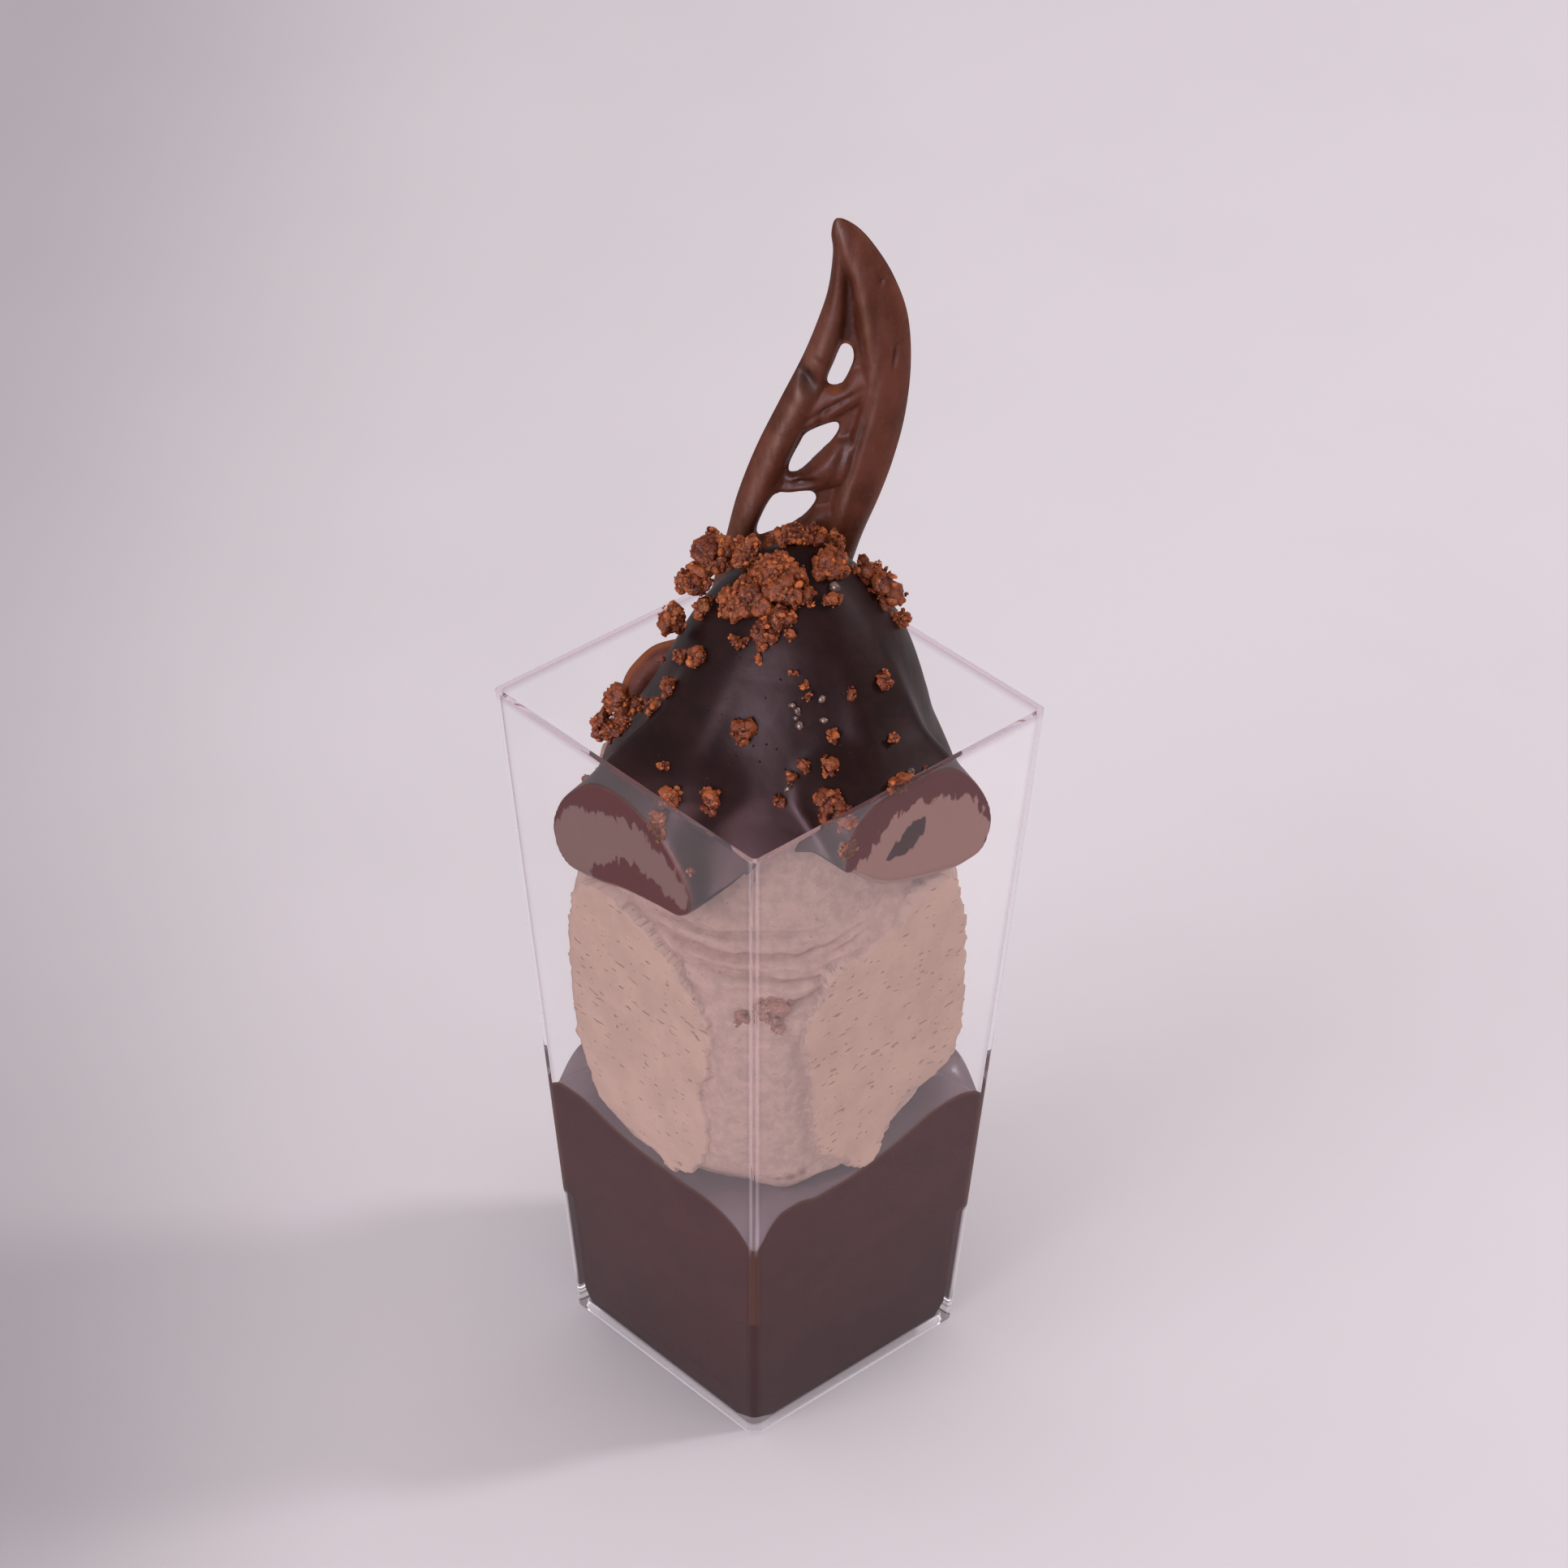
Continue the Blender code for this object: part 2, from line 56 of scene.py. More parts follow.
MM = 0.001
TURN = math.sqrt(0.5)
FRONT = -math.pi / 4            # direction of the shown corner
REACH = 0.25                    # how far what touches a wall reaches into it
MOUSSE_REACH = 0.20             # and how far the pressed mousse does

# ---------------------------------------------------------------- sizes of the real thing

CUP_HEIGHT = 92.3
CUP_TOP_HALF = 22.5
CUP_BASE_HALF = 16.6
CUP_WALL = 0.7
WALL_SLOPE = (CUP_TOP_HALF - CUP_BASE_HALF) / CUP_HEIGHT
FLOOR_TOP = 2.2
RIB_LEG = 2.8
RIB_LOW, RIB_HIGH = 17.6, 18.9

LAYER_LEVEL = 35.8
# Top line of the chocolate layer on the two shown walls: (place along the wall, height).
LAYER_LEFT = ((-18.6, 34.7), (-16.1, 36.3), (-12.5, 36.5), (-6.7, 35.3), (-0.9, 34.7), (4.9, 34.6),
              (9.5, 34.8), (12.8, 34.4), (15.6, 33.4), (17.0, 32.4), (18.2, 31.3))
LAYER_RIGHT = ((-18.2, 31.3), (-17.2, 32.6), (-16.1, 34.2), (-14.1, 35.5), (-11.6, 35.6),
               (-8.5, 34.8), (-4.4, 34.8), (0.7, 35.4), (5.8, 36.6), (9.9, 37.9), (13.5, 38.1),
               (16.3, 37.4), (18.9, 35.4))

MOUSSE_LOW, MOUSSE_HIGH = 31.0, 90.0
MOUSSE_PROFILE = ((30.0, 13.0), (34.0, 15.4), (36.0, 17.2), (38.0, 19.2), (40.0, 20.5), (44.0, 21.8),
                  (50.0, 22.9), (57.0, 23.4), (62.0, 23.2), (66.0, 22.2), (70.0, 21.0),
                  (75.0, 20.2), (84.0, 19.1), (92.0, 14.0))
MOUSSE_SIDES = ((30.0, 15.0), (34.0, 17.6), (38.0, 19.6), (42.0, 20.9), (46.0, 21.9), (50.0, 22.6),
                (58.0, 22.9), (64.0, 22.3),
                (68.0, 21.7), (75.0, 20.6), (84.0, 19.1), (92.0, 14.0))

DOME_APEX = 111.4
DOME_PROFILE = ((70.0, 24.0), (76.0, 22.0), (80.0, 20.6), (84.0, 19.0), (88.0, 17.1), (92.0, 15.6),
                (96.0, 14.1), (100.0, 12.4), (104.0, 10.0), (106.0, 8.4), (108.0, 6.4), (110.0, 3.8),
                (DOME_APEX, 0.0))
DOME_LOBES = ((70.0, 4.0), (76.0, 7.8), (80.0, 9.2), (84.0, 8.8), (88.0, 7.0), (91.0, 5.2),
              (94.0, 3.6), (98.0, 1.9), (102.0, 0.8), (107.0, 0.1), (DOME_APEX, 0.0))
DOME_BELLY = ((70.0, 3.4), (80.0, 3.2), (84.0, 2.9), (88.0, 2.3), (92.0, 1.4), (96.0, 0.6), (101.0, 0.0))
DOME_LATERAL = ((70.0, 1.0), (84.0, 1.2), (92.0, 2.2), (97.0, 2.7), (105.0, 3.1), (DOME_APEX, 3.3))
DOME_DEPTH = 2.5
DOME_UNDER = 88.0               # height of the underside's middle
LOBE_HALF_ANGLES = ((74.0, 30.0), (80.0, 28.5), (85.0, 27.0), (90.0, 26.0), (100.0, 27.0))
LOBE_FLATNESS = 3.0
# The dome's lower edge: (degrees from the shown corner, height).
DOME_EDGE = ((-180, 82), (-160, 79), (-135, 73.5), (-112, 78), (-95, 81), (-84, 79), (-77, 75),
             (-70, 71.4), (-58, 72.4), (-45, 73.9), (-31, 74.7), (-24, 75.0), (-18, 77.0), (-11, 80.2),
             (-4, 83.0), (4, 84.6), (11, 84.6), (18, 83.4), (25, 81.6), (31, 79.0), (38, 77.0),
             (48, 75.7), (58, 74.6), (67, 73.8), (73, 74), (79, 76), (86, 79.6), (97, 81),
             (112, 78), (135, 74), (160, 79), (180, 82))
# Where the dome's lobes press on the shown walls: outlines as (place along the wall, height).
LOBE_LEFT = ((-13.3, 76.4), (-12.3, 73.9), (-9.3, 72.0), (-4.5, 73.5), (2.7, 74.8), (7.7, 75.5),
             (10.3, 78.1), (10.0, 82.2), (6.0, 86.3), (0.0, 88.6), (-5.5, 87.6), (-10.5, 83.4),
             (-12.9, 79.2))
LOBE_RIGHT = ((-7.4, 82.2), (-5.4, 79.1), (-2.7, 77.7), (4.6, 75.3), (11.0, 74.4), (14.4, 76.6),
              (14.9, 81.0), (12.0, 86.6), (7.6, 90.6), (2.0, 91.6), (-3.5, 91.3), (-7.2, 88.4))
# Paler areas on those contact patches, and a dark spot.
PALE_LEFT = ((-13.4, 76.6), (-10.7, 81.3), (-5.3, 84.4), (0.6, 85.8), (4.5, 85.0), (8.6, 82.9),
             (10.6, 80.3), (10.3, 77.9), (6.0, 78.9), (3.2, 79.7), (0.4, 79.8), (-2.9, 78.1),
             (-6.0, 75.3), (-7.9, 72.0), (-11.5, 72.0), (-14.0, 74.5))
PALE_RIGHT = ((-7.6, 82.6), (-4.6, 85.1), (-2.3, 87.0), (0.3, 88.5), (2.8, 88.6), (5.0, 87.4),
              (9.0, 86.3), (12.6, 83.2), (15.2, 79.0), (14.6, 75.6), (11.0, 73.8), (4.6, 74.8),
              (-2.7, 77.2), (-5.4, 78.6))
SPOT_RIGHT = ((-1.6, 82.2), (0.2, 84.2), (2.6, 85.8), (4.6, 85.2), (3.8, 83.4), (1.6, 81.8))

LEAF_DEPTH = 11.0
LEAF_TOP = 149.2
LEAF_FLATNESS = 0.78
LEAF_BACK = 0.8                 # how full the leaf's back is, against its front
STEM = ((6.4, 149.0, 0.35), (6.6, 146.0, 0.9), (6.8, 143.0, 1.0), (6.7, 140.0, 1.2),
        (6.1, 136.0, 1.6), (4.9, 132.0, 1.8), (3.6, 128.0, 1.9), (0.3, 120.0, 1.9),
        (-2.5, 112.0, 1.9), (-4.6, 104.0, 1.8), (-6.2, 96.0, 1.8), (-6.9, 90.5, 1.7))
LIMB = ((6.6, 149.1, 0.3), (8.0, 146.9, 1.6), (9.4, 144.0, 2.2), (10.9, 140.0, 2.7),
        (11.7, 136.0, 2.9), (12.2, 131.0, 2.7), (12.0, 126.0, 2.6), (10.8, 120.0, 2.7),
        (8.8, 112.0, 2.5), (6.6, 104.5, 2.4), (4.4, 97.0, 2.3), (3.0, 91.5, 2.2))
CURL = ((-6.2, 90.4, 1.8), (-9.5, 90.8, 1.9), (-12.6, 89.7, 2.0), (-14.8, 87.3, 2.0),
        (-15.9, 84.4, 1.8), (-15.8, 82.2, 1.2))
WEB = ((7.7, 142.5, 0.8), (8.2, 138.0, 1.0), (8.0, 133.6, 1.0))
STRUTS = (((1.8, 122.6, 1.5), (5.4, 125.2, 2.1), (8.6, 127.6, 2.1), (11.8, 130.0, 1.6)),
          ((-1.6, 113.4, 1.4), (1.9, 114.9, 1.8), (6.2, 117.6, 3.0), (10.0, 119.8, 2.0)),
          ((-4.2, 104.4, 1.4), (0.6, 106.4, 2.0), (5.0, 109.2, 2.4), (8.2, 111.2, 1.6)))
# Every limb of the leaf and how full its half-round section is.
LEAF_LIMBS = ((STEM, 1.0), (LIMB, 1.0), (CURL, 0.8), (WEB, 0.2), *((strut, 0.72) for strut in STRUTS))
LEAF_OUTLINE = ((6.5, 149.2), (8.5, 148.4), (10.5, 146.2), (12.8, 142.3), (14.5, 137.3), (15.0, 131.0),
                (14.5, 124.3), (13.3, 118.4), (11.8, 113.3), (9.9, 107.9), (8.4, 102.5), (6.9, 97.0),
                (5.3, 91.6), (3.2, 89.6), (0.9, 91.2), (1.9, 97.0), (3.4, 102.6), (2.4, 105.0),
                (-0.6, 103.4), (-2.6, 100.4), (-3.8, 96.0), (-4.9, 91.0), (-6.6, 88.7), (-9.5, 88.9),
                (-11.9, 87.9), (-13.1, 86.0), (-13.9, 83.2), (-14.7, 81.4), (-16.2, 81.0),
                (-17.4, 82.6), (-17.8, 85.2), (-17.2, 87.5), (-15.9, 89.6), (-14.0, 91.6),
                (-11.6, 92.6), (-9.2, 93.2), (-8.1, 95.2), (-7.4, 99.0), (-6.6, 103.0),
                (-5.6, 107.2), (-4.3, 113.0), (-2.2, 119.4), (0.3, 125.4), (3.0, 131.7),
                (4.8, 137.0), (5.7, 140.6), (6.1, 144.9), (5.9, 147.4))
LEAF_WINDOWS = (((7.3, 133.1), (8.3, 132.9), (8.6, 131.4), (8.0, 129.4), (7.2, 128.0), (6.2, 127.8),
                 (5.7, 128.6), (6.4, 130.8)),
                ((6.4, 122.9), (7.1, 122.4), (6.5, 120.9), (4.6, 118.4), (2.6, 116.3), (1.6, 116.2),
                 (1.6, 117.4), (2.6, 119.8), (3.6, 121.5)),
                ((-0.2, 112.9), (2.0, 113.5), (4.0, 113.6), (4.6, 112.6), (3.4, 110.6), (1.4, 108.9),
                 (-0.6, 108.0), (-1.9, 107.6), (-1.9, 109.2)))
# Where a painted glow stands for light let through the leaf's thin edge, at its upper window.
LEAF_GLOWS = ((7.9, 133.3), (6.4, 127.5))
# Dents in the leaf, also painted darker as shade: (centre, half sizes, depth, lean in degrees).
LEAF_DENTS = (((7.95, 137.6), (0.55, 5.2), 0.95, -2), ((3.5, 129.2), (1.15, 1.75), 1.5, 24),
              ((5.2, 131.6), (0.22, 1.3), 0.25, 60), ((13.2, 132.6), (0.22, 1.5), 0.6, -4),
              ((11.5, 142.0), (0.3, 0.35), 0.4, 0), ((6.0, 125.4), (3.4, 0.35), 0.55, 36),
              ((3.0, 115.4), (1.5, 0.5), 0.8, 18), ((7.2, 118.3), (0.5, 2.6), 0.35, -16),
              ((5.0, 123.6), (0.45, 2.2), 0.4, -20), ((9.5, 121.6), (0.38, 7.0), 0.55, -13),
              ((10.9, 133.5), (0.5, 7.0), 0.18, -2), ((0.9, 114.9), (0.5, 1.6), 0.4, -20))

# Where the mousse is pressed flat on the shown walls: outlines as (place along the wall, height).
PATCH_LEFT = ((0.9, 70.9), (4.4, 69.6), (8.0, 67.4), (10.8, 64.8), (12.5, 60.4), (11.6, 56.4),
              (11.3, 53.4), (9.6, 50.6), (10.8, 46.6), (10.4, 42.0), (8.4, 38.2), (4.7, 35.6),
              (-0.8, 36.4), (-6.8, 37.6), (-9.4, 39.9), (-10.9, 43.6), (-12.1, 47.4), (-12.4, 54.0),
              (-12.2, 62.0), (-11.4, 67.2), (-8.9, 71.6), (-4.0, 72.3))
PATCH_RIGHT = ((2.3, 71.2), (-2.4, 69.4), (-8.4, 68.4), (-10.5, 65.3), (-12.5, 61.4), (-11.4, 57.4),
               (-10.8, 52.3), (-10.1, 47.4), (-9.0, 42.6), (-5.0, 38.6), (-1.6, 35.0), (0.2, 34.6),
               (2.6, 39.8), (4.6, 42.7), (8.6, 43.4), (11.6, 44.6), (13.2, 47.6), (13.4, 54.0),
               (12.9, 62.6), (11.9, 68.8), (9.6, 74.4), (6.0, 73.6))

# Folds across the mousse: (degrees from the shown corner, height, half reach in degrees,
# rise per degree, arch, depth).
MOUSSE_FOLDS = ((-5, 69.8, 34, 0.0, 0.0017, 0.50), (-18, 72.4, 16, -0.03, 0.0012, 0.42),
                (13, 67.6, 20, 0.03, 0.0018, 0.44), (17, 65.8, 12, 0.11, 0.0, 0.34),
                (-12, 68.2, 13, -0.03, 0.001, 0.28), (5, 72.6, 15, 0.02, 0.001, 0.30),
                (22, 70.3, 12, 0.06, 0.001, 0.34), (-22, 66.4, 9, -0.06, 0.0, 0.26),
                (-2, 66.6, 9, 0.02, 0.0, 0.22), (8, 61.4, 10, -0.03, 0.0, 0.18))
# Darker marks low on the mousse, painted in the folds' shade colour: (degrees from the shown corner,
# height, half sizes in degrees and mm).
MOUSSE_DARK_MARKS = ((10.5, 38.6, 1.8, 0.6), (14.5, 39.2, 1.5, 0.9), (6.5, 38.3, 1.6, 0.35))

# Crumbs on the dome: (degrees from the shown corner, height, width, tallness).
DOME_CRUMBS = (
    (-85, 103.6, 2.9, 2.6), (-38, 109.8, 4.6, 5.6), (61, 110.1, 4.6, 3.8), (-57, 106.8, 4.6, 5.0),
    (-3, 108.6, 4.8, 2.9), (34, 108.0, 2.2, 1.7), (86, 102.7, 0.6, 1.1), (-35, 104.0, 3.0, 1.8),
    (-19, 105.5, 3.2, 4.2), (-5, 105.5, 1.8, 1.3), (-21, 103.0, 1.0, 0.9), (-71, 99.0, 1.8, 2.1),
    (-55, 101.0, 2.4, 3.1), (-59, 97.0, 2.5, 2.4), (-62, 94.0, 3.0, 2.1), (-18, 96.0, 3.1, 3.2),
    (-39, 92.5, 1.5, 2.1), (-32, 90.0, 2.8, 2.5), (-22, 90.0, 2.4, 3.4), (2, 102.0, 2.0, 1.0),
    (7, 101.0, 1.0, 1.0), (9, 100.0, 1.5, 1.4), (49, 100.0, 2.0, 2.0), (30, 100.0, 1.1, 1.2),
    (20, 96.0, 2.0, 2.1), (42, 95.0, 1.4, 1.4), (8, 93.5, 1.8, 2.1), (4, 92.0, 1.3, 1.3),
    (1, 90.0, 1.8, 2.0), (17, 93.8, 2.0, 2.2), (15, 91.2, 3.5, 3.4), (19, 90.0, 2.6, 2.6),
    (37, 92.0, 3.4, 2.1), (47, 92.0, 0.8, 0.8),
    (-31, 87.5, 2.8, 3.4), (-20, 83.6, 1.4, 1.1), (20, 86.4, 3.0, 2.8), (-67, 84.8, 0.9, 0.9),
    (-17, 109.6, 4.4, 4.6), (-60, 109.4, 3.4, 3.4), (-40, 107.6, 3.8, 3.4), (-12, 107.0, 3.4, 2.6))
# Crumbs at the dome's outline, round its top and behind it: (lateral, depth, height, width, tallness).
RIM_CRUMBS = ((-6.7, 4.6, 109.0, 4.4, 5.2), (-8.7, 2.6, 106.2, 3.9, 4.1), (-2.8, 3.0, 110.6, 3.0, 4.4),
              (3.5, 5.2, 111.4, 8.6, 2.6), (11.4, 3.8, 105.6, 7.2, 6.4), (14.6, 3.0, 102.0, 3.0, 2.6),
              (-11.0, 1.6, 101.6, 3.7, 3.2), (-12.2, 0.6, 96.9, 1.2, 0.9),
              (-17.2, -0.8, 92.1, 3.2, 3.6), (-18.6, -0.8, 88.4, 3.9, 3.4),
              (-15.2, -0.8, 91.6, 2.4, 2.6), (-16.4, -0.8, 89.6, 3.0, 2.6),
              (6.0, 8.0, 108.4, 3.4, 3.0), (0.0, 9.0, 107.0, 3.6, 2.8), (-4.0, 8.6, 105.0, 2.6, 2.4))
# Glassy sugar grains on the dome: (degrees from the shown corner, height, width).
SUGAR_GRAINS = ((16, 99.5, 1.0), (1, 99.0, 1.1), (4, 98.4, 0.9), (5, 97.0, 1.0), (16, 97.5, 0.9),
                (3, 97.8, 0.6), (47, 108.7, 1.4), (44, 107.9, 1.0), (21, 96.6, 0.7), (3, 91.0, 1.0),
                (42, 92.4, 0.9))
SUGAR_DARK, SUGAR_LIGHT = (0.045, 0.022, 0.016), (0.26, 0.17, 0.13)
# Crumbs on the mousse: (degrees from the shown corner, height, width, tallness).
MOUSSE_CRUMBS = ((-4, 63.9, 1.5, 2.0), (4, 64.5, 3.4, 3.0), (6, 62.8, 2.2, 1.9), (9, 65.6, 1.3, 0.9))


# ---------------------------------------------------------------- formulas

def smooth_step(value, low, high):
    """Rise smoothly from 0 at low to 1 at high."""
    share = np.clip((np.asarray(value, float) - low) / (high - low), 0.0, 1.0)
    return share * share * (3.0 - 2.0 * share)


def through(knots, value):
    """Read a smooth curve through (position, height) knots: cubic pieces with monotone slopes."""
    place, height = np.array(knots, dtype=float).T
    step = np.diff(place)
    slope = np.diff(height) / step
    tangent = np.zeros(len(place))
    same_way = slope[:-1] * slope[1:] > 0
    mean = 2.0 * slope[:-1] * slope[1:] / np.where(same_way, slope[:-1] + slope[1:], 1.0)
    tangent[1:-1] = np.where(same_way, mean, 0.0)
    tangent[0], tangent[-1] = slope[0], slope[-1]
    value = np.clip(value, place[0], place[-1])
    index = np.clip(np.searchsorted(place, value, side="right") - 1, 0, len(step) - 1)
    share = (value - place[index]) / step[index]
    rest = 1.0 - share
    start = (1.0 + 2.0 * share) * rest * rest * height[index]
    end = share * share * (3.0 - 2.0 * share) * height[index + 1]
    leave = share * rest * rest * tangent[index] * step[index]
    arrive = share * share * rest * tangent[index + 1] * step[index]
    return start + end + leave - arrive


def on_diagonals(lateral, depth):
    """Turn lateral and depth into x and y."""
    return (lateral - depth) * TURN, (lateral + depth) * TURN


def inner_half(height):
    """Half the width of the cup's inside at a height."""
    return CUP_BASE_HALF + WALL_SLOPE * height - CUP_WALL


def wall_distance(centre_x, centre_y, angle, height, into=0.0):
    """Distance from a centre, in a direction, to the nearest wall pushed out by into."""
    half = inner_half(height) + into
    across, along = np.cos(angle), np.sin(angle)
    to_x = (half - np.sign(across) * centre_x) / np.maximum(np.abs(across), 1e-9)
    to_y = (half - np.sign(along) * centre_y) / np.maximum(np.abs(along), 1e-9)
    return np.minimum(to_x, to_y)


def smooth_maximum(first, second, sharpness):
    """The larger of two lengths, rounded where they are close."""
    high = np.maximum(first, second)
    return high + np.log(np.exp((first - high) * sharpness)
                         + np.exp((second - high) * sharpness)) / sharpness


def smooth_minimum(first, second, sharpness):
    """The smaller of two lengths, rounded where they are close."""
    return -smooth_maximum(-first, -second, sharpness)


def lattice(seed):
    """A shuffled table of whole numbers and one of unit gradients, for the noise."""
    rng = np.random.default_rng(seed)
    gradients = rng.normal(size=(256, 3))
    return rng.permutation(256), gradients / np.linalg.norm(gradients, axis=1, keepdims=True)


def noise(points, seed=1):
    """Smooth random field, about -1 to 1: gradients on a lattice, blended by quintic weights."""
    table, gradients = lattice(seed)
    points = np.asarray(points, float)
    cell = np.floor(points).astype(int)
    part = points - cell
    fade = part ** 3 * (part * (part * 6.0 - 15.0) + 10.0)
    total = np.zeros(points.shape[:-1])
    for corner in range(8):
        bits = np.array((corner & 1, corner >> 1 & 1, corner >> 2 & 1))
        place = (cell + bits) & 255
        index = table[(table[(table[place[..., 0]] + place[..., 1]) & 255] + place[..., 2]) & 255]
        weight = np.where(bits, fade, 1.0 - fade).prod(axis=-1)
        total += weight * (gradients[index] * (part - bits)).sum(axis=-1)
    return total * 1.6


def layered_noise(points, octaves, seed=1, gain=0.5):
    """Noise at doubling fineness and falling strength, added up."""
    total, strength = 0.0, 1.0
    for octave in range(octaves):
        total = total + strength * noise(np.asarray(points) * 2.0 ** octave, seed + octave)
        strength *= gain
    return total


def closed_curve(knots, steps=8):
    """A closed smooth curve through its knots: Catmull-Rom cubic pieces."""
    knot = np.array(knots, float)
    share = (np.arange(steps) / steps)[None, :, None]
    before, start, end, after = (np.roll(knot, shift, axis=0)[:, None] for shift in (1, 0, -1, -2))
    curve = 0.5 * (2.0 * start + (end - before) * share
                   + (2.0 * before - 5.0 * start + 4.0 * end - after) * share ** 2
                   + (3.0 * start - before - 3.0 * end + after) * share ** 3)
    return curve.reshape(-1, 2)


def inside_distance(knots, along, height):
    """Signed distance to a closed curve: positive inside, negative outside, in millimetres."""
    curve = closed_curve(knots)
    start, end = curve[None], np.roll(curve, -1, axis=0)[None]
    point = np.stack([np.ravel(along), np.ravel(height)], axis=1)[:, None]
    side = end - start
    share = np.clip(((point - start) * side).sum(-1) / (side * side).sum(-1), 0.0, 1.0)
    distance = np.linalg.norm(point - start - side * share[..., None], axis=-1).min(axis=1)
    spans = (start[..., 1] > point[..., 1]) != (end[..., 1] > point[..., 1])
    rise = np.where(np.abs(side[..., 1]) < 1e-9, 1e-9, side[..., 1])
    cross = start[..., 0] + (point[..., 1] - start[..., 1]) * side[..., 0] / rise
    odd = (spans & (point[..., 0] < cross)).sum(axis=1) % 2 == 1
    return np.where(odd, distance, -distance).reshape(np.shape(along))


def degrees_from_front(angle):
    """Turn a direction round Z into degrees from the shown corner, from -180 to 180."""
    return (np.degrees(angle - FRONT) + 180.0) % 360.0 - 180.0


# ---------------------------------------------------------------- meshes

def grid_quads(rows, columns):
    """Faces of a grid of points that closes round in its columns, seen from outside."""
    row = np.arange(rows - 1)[:, None] * columns
    column = np.arange(columns)[None, :]
    after = (column + 1) % columns
    return np.stack([row + column, row + after, row + columns + after, row + columns + column],
                    axis=-1).reshape(-1, 4)


def capped_grid(points, low_pole, high_pole):
    """A closed skin: a grid of rings, each counter-clockwise from above, with a pole at each end."""
    rows, columns, _ = points.shape
    vertices = np.concatenate([points.reshape(-1, 3), [low_pole], [high_pole]])
    first = np.arange(columns)
    after = (first + 1) % columns
    last = (rows - 1) * columns
    low = np.stack([after, first, np.full(columns, rows * columns)], axis=1)
    high = np.stack([last + first, last + after, np.full(columns, rows * columns + 1)], axis=1)
    return vertices, grid_quads(rows, columns), np.concatenate([low, high])


def make_piece(name, vertices, quads, triangles, material, attributes=None):
    """Put arrays of points and faces into a mesh object on the root body, with point values."""
    mesh = bpy.data.meshes.new(name)
    mesh.vertices.add(len(vertices))
    mesh.vertices.foreach_set("co", (np.asarray(vertices) * MM).ravel())
    corners = np.concatenate([np.ravel(quads), np.ravel(triangles)]).astype(np.int32)
    starts = np.concatenate([np.arange(len(quads)) * 4,
                             len(quads) * 4 + np.arange(len(triangles)) * 3]).astype(np.int32)
    mesh.loops.add(len(corners))
    mesh.loops.foreach_set("vertex_index", corners)
    mesh.polygons.add(len(starts))
    mesh.polygons.foreach_set("loop_start", starts)
    mesh.update(calc_edges=True)
    if mesh.validate():
        raise RuntimeError("the mesh of " + name + " had faulty faces")
    mesh.shade_smooth()
    for label, values in (attributes or {}).items():
        layer = mesh.attributes.new(label, "FLOAT", "POINT")
        layer.data.foreach_set("value", np.ravel(values).astype(np.float32))
    mesh.materials.append(material)
    piece = bpy.data.objects.new(name, mesh)
    bpy.context.scene.collection.objects.link(piece)
    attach(piece, "root")
    return piece


# ---------------------------------------------------------------- material tools

class Field:
    """A value in a shader tree. Sums, differences and products of fields become Math nodes."""

    def __init__(self, tree, socket):
        self.tree, self.socket = tree, socket

    def of(self, operation, other=0.0, clamp=False):
        """This value and another through a Math node."""
        return field(self.tree, "ShaderNodeMath", 0, {0: self, 1: other}, operation=operation,
                     use_clamp=clamp)

    def __add__(self, other):
        return self.of("ADD", other)

    def __sub__(self, other):
        return self.of("SUBTRACT", other)

    def __mul__(self, other):
        return self.of("MULTIPLY", other)

    def rest(self):
        """What is left of 1."""
        return field(self.tree, "ShaderNodeMath", 0, {0: 1.0, 1: self}, operation="SUBTRACT")

    def feeds(self, shader, label):
        """Link this value to a shader's input."""
        self.tree.links.new(self.socket, shader.inputs[label])


def plug(tree, socket, value):
    """Link a field to a socket, or set the socket to a plain value."""
    if isinstance(value, Field):
        tree.links.new(value.socket, socket)
    else:
        socket.default_value = value


def node(tree, kind, inputs=None, **settings):
    """Add a shader node, set its properties, and set or link its inputs."""
    made = tree.nodes.new(kind)
    for key, value in settings.items():
        setattr(made, key, value)
    for key, value in (inputs or {}).items():
        plug(tree, made.inputs[key], value)
    return made


def field(tree, kind, output, inputs=None, **settings):
    """Add a shader node and take one of its outputs."""
    return Field(tree, node(tree, kind, inputs, **settings).outputs[output])


def remap(value, low, high, to_low=0.0, to_high=1.0):
    """A value carried smoothly and clamped from one range to another."""
    return field(value.tree, "ShaderNodeMapRange", "Result",
                 {"Value": value, "From Min": low, "From Max": high, "To Min": to_low,
                  "To Max": to_high}, interpolation_type="SMOOTHSTEP")


def blend(share, first, second):
    """Two colours mixed by a share."""
    mix = node(share.tree, "ShaderNodeMix", data_type="RGBA", blend_type="MIX")
    for socket, value in zip((mix.inputs[0], mix.inputs[6], mix.inputs[7]), (share, first, second)):
        plug(share.tree, socket, value)
    return Field(share.tree, mix.outputs[2])


def place(tree, stretch=(1.0, 1.0, 1.0)):
    """Object coordinates in millimetres, stretched."""
    spot = field(tree, "ShaderNodeTexCoord", "Object")
    return field(tree, "ShaderNodeMapping", "Vector",
                 {"Vector": spot, "Scale": [s / MM for s in stretch]}, vector_type="POINT")


def point_value(tree, label):
    """A value that the mesh holds at its points."""
    return field(tree, "ShaderNodeAttribute", "Fac", attribute_name=label)


def cloud(tree, spot, scale, detail, roughness=0.5):
    """Soft random noise over places."""
    return field(tree, "ShaderNodeTexNoise", "Fac", {"Vector": spot, "Scale": scale, "Detail": detail,
                                                     "Roughness": roughness})


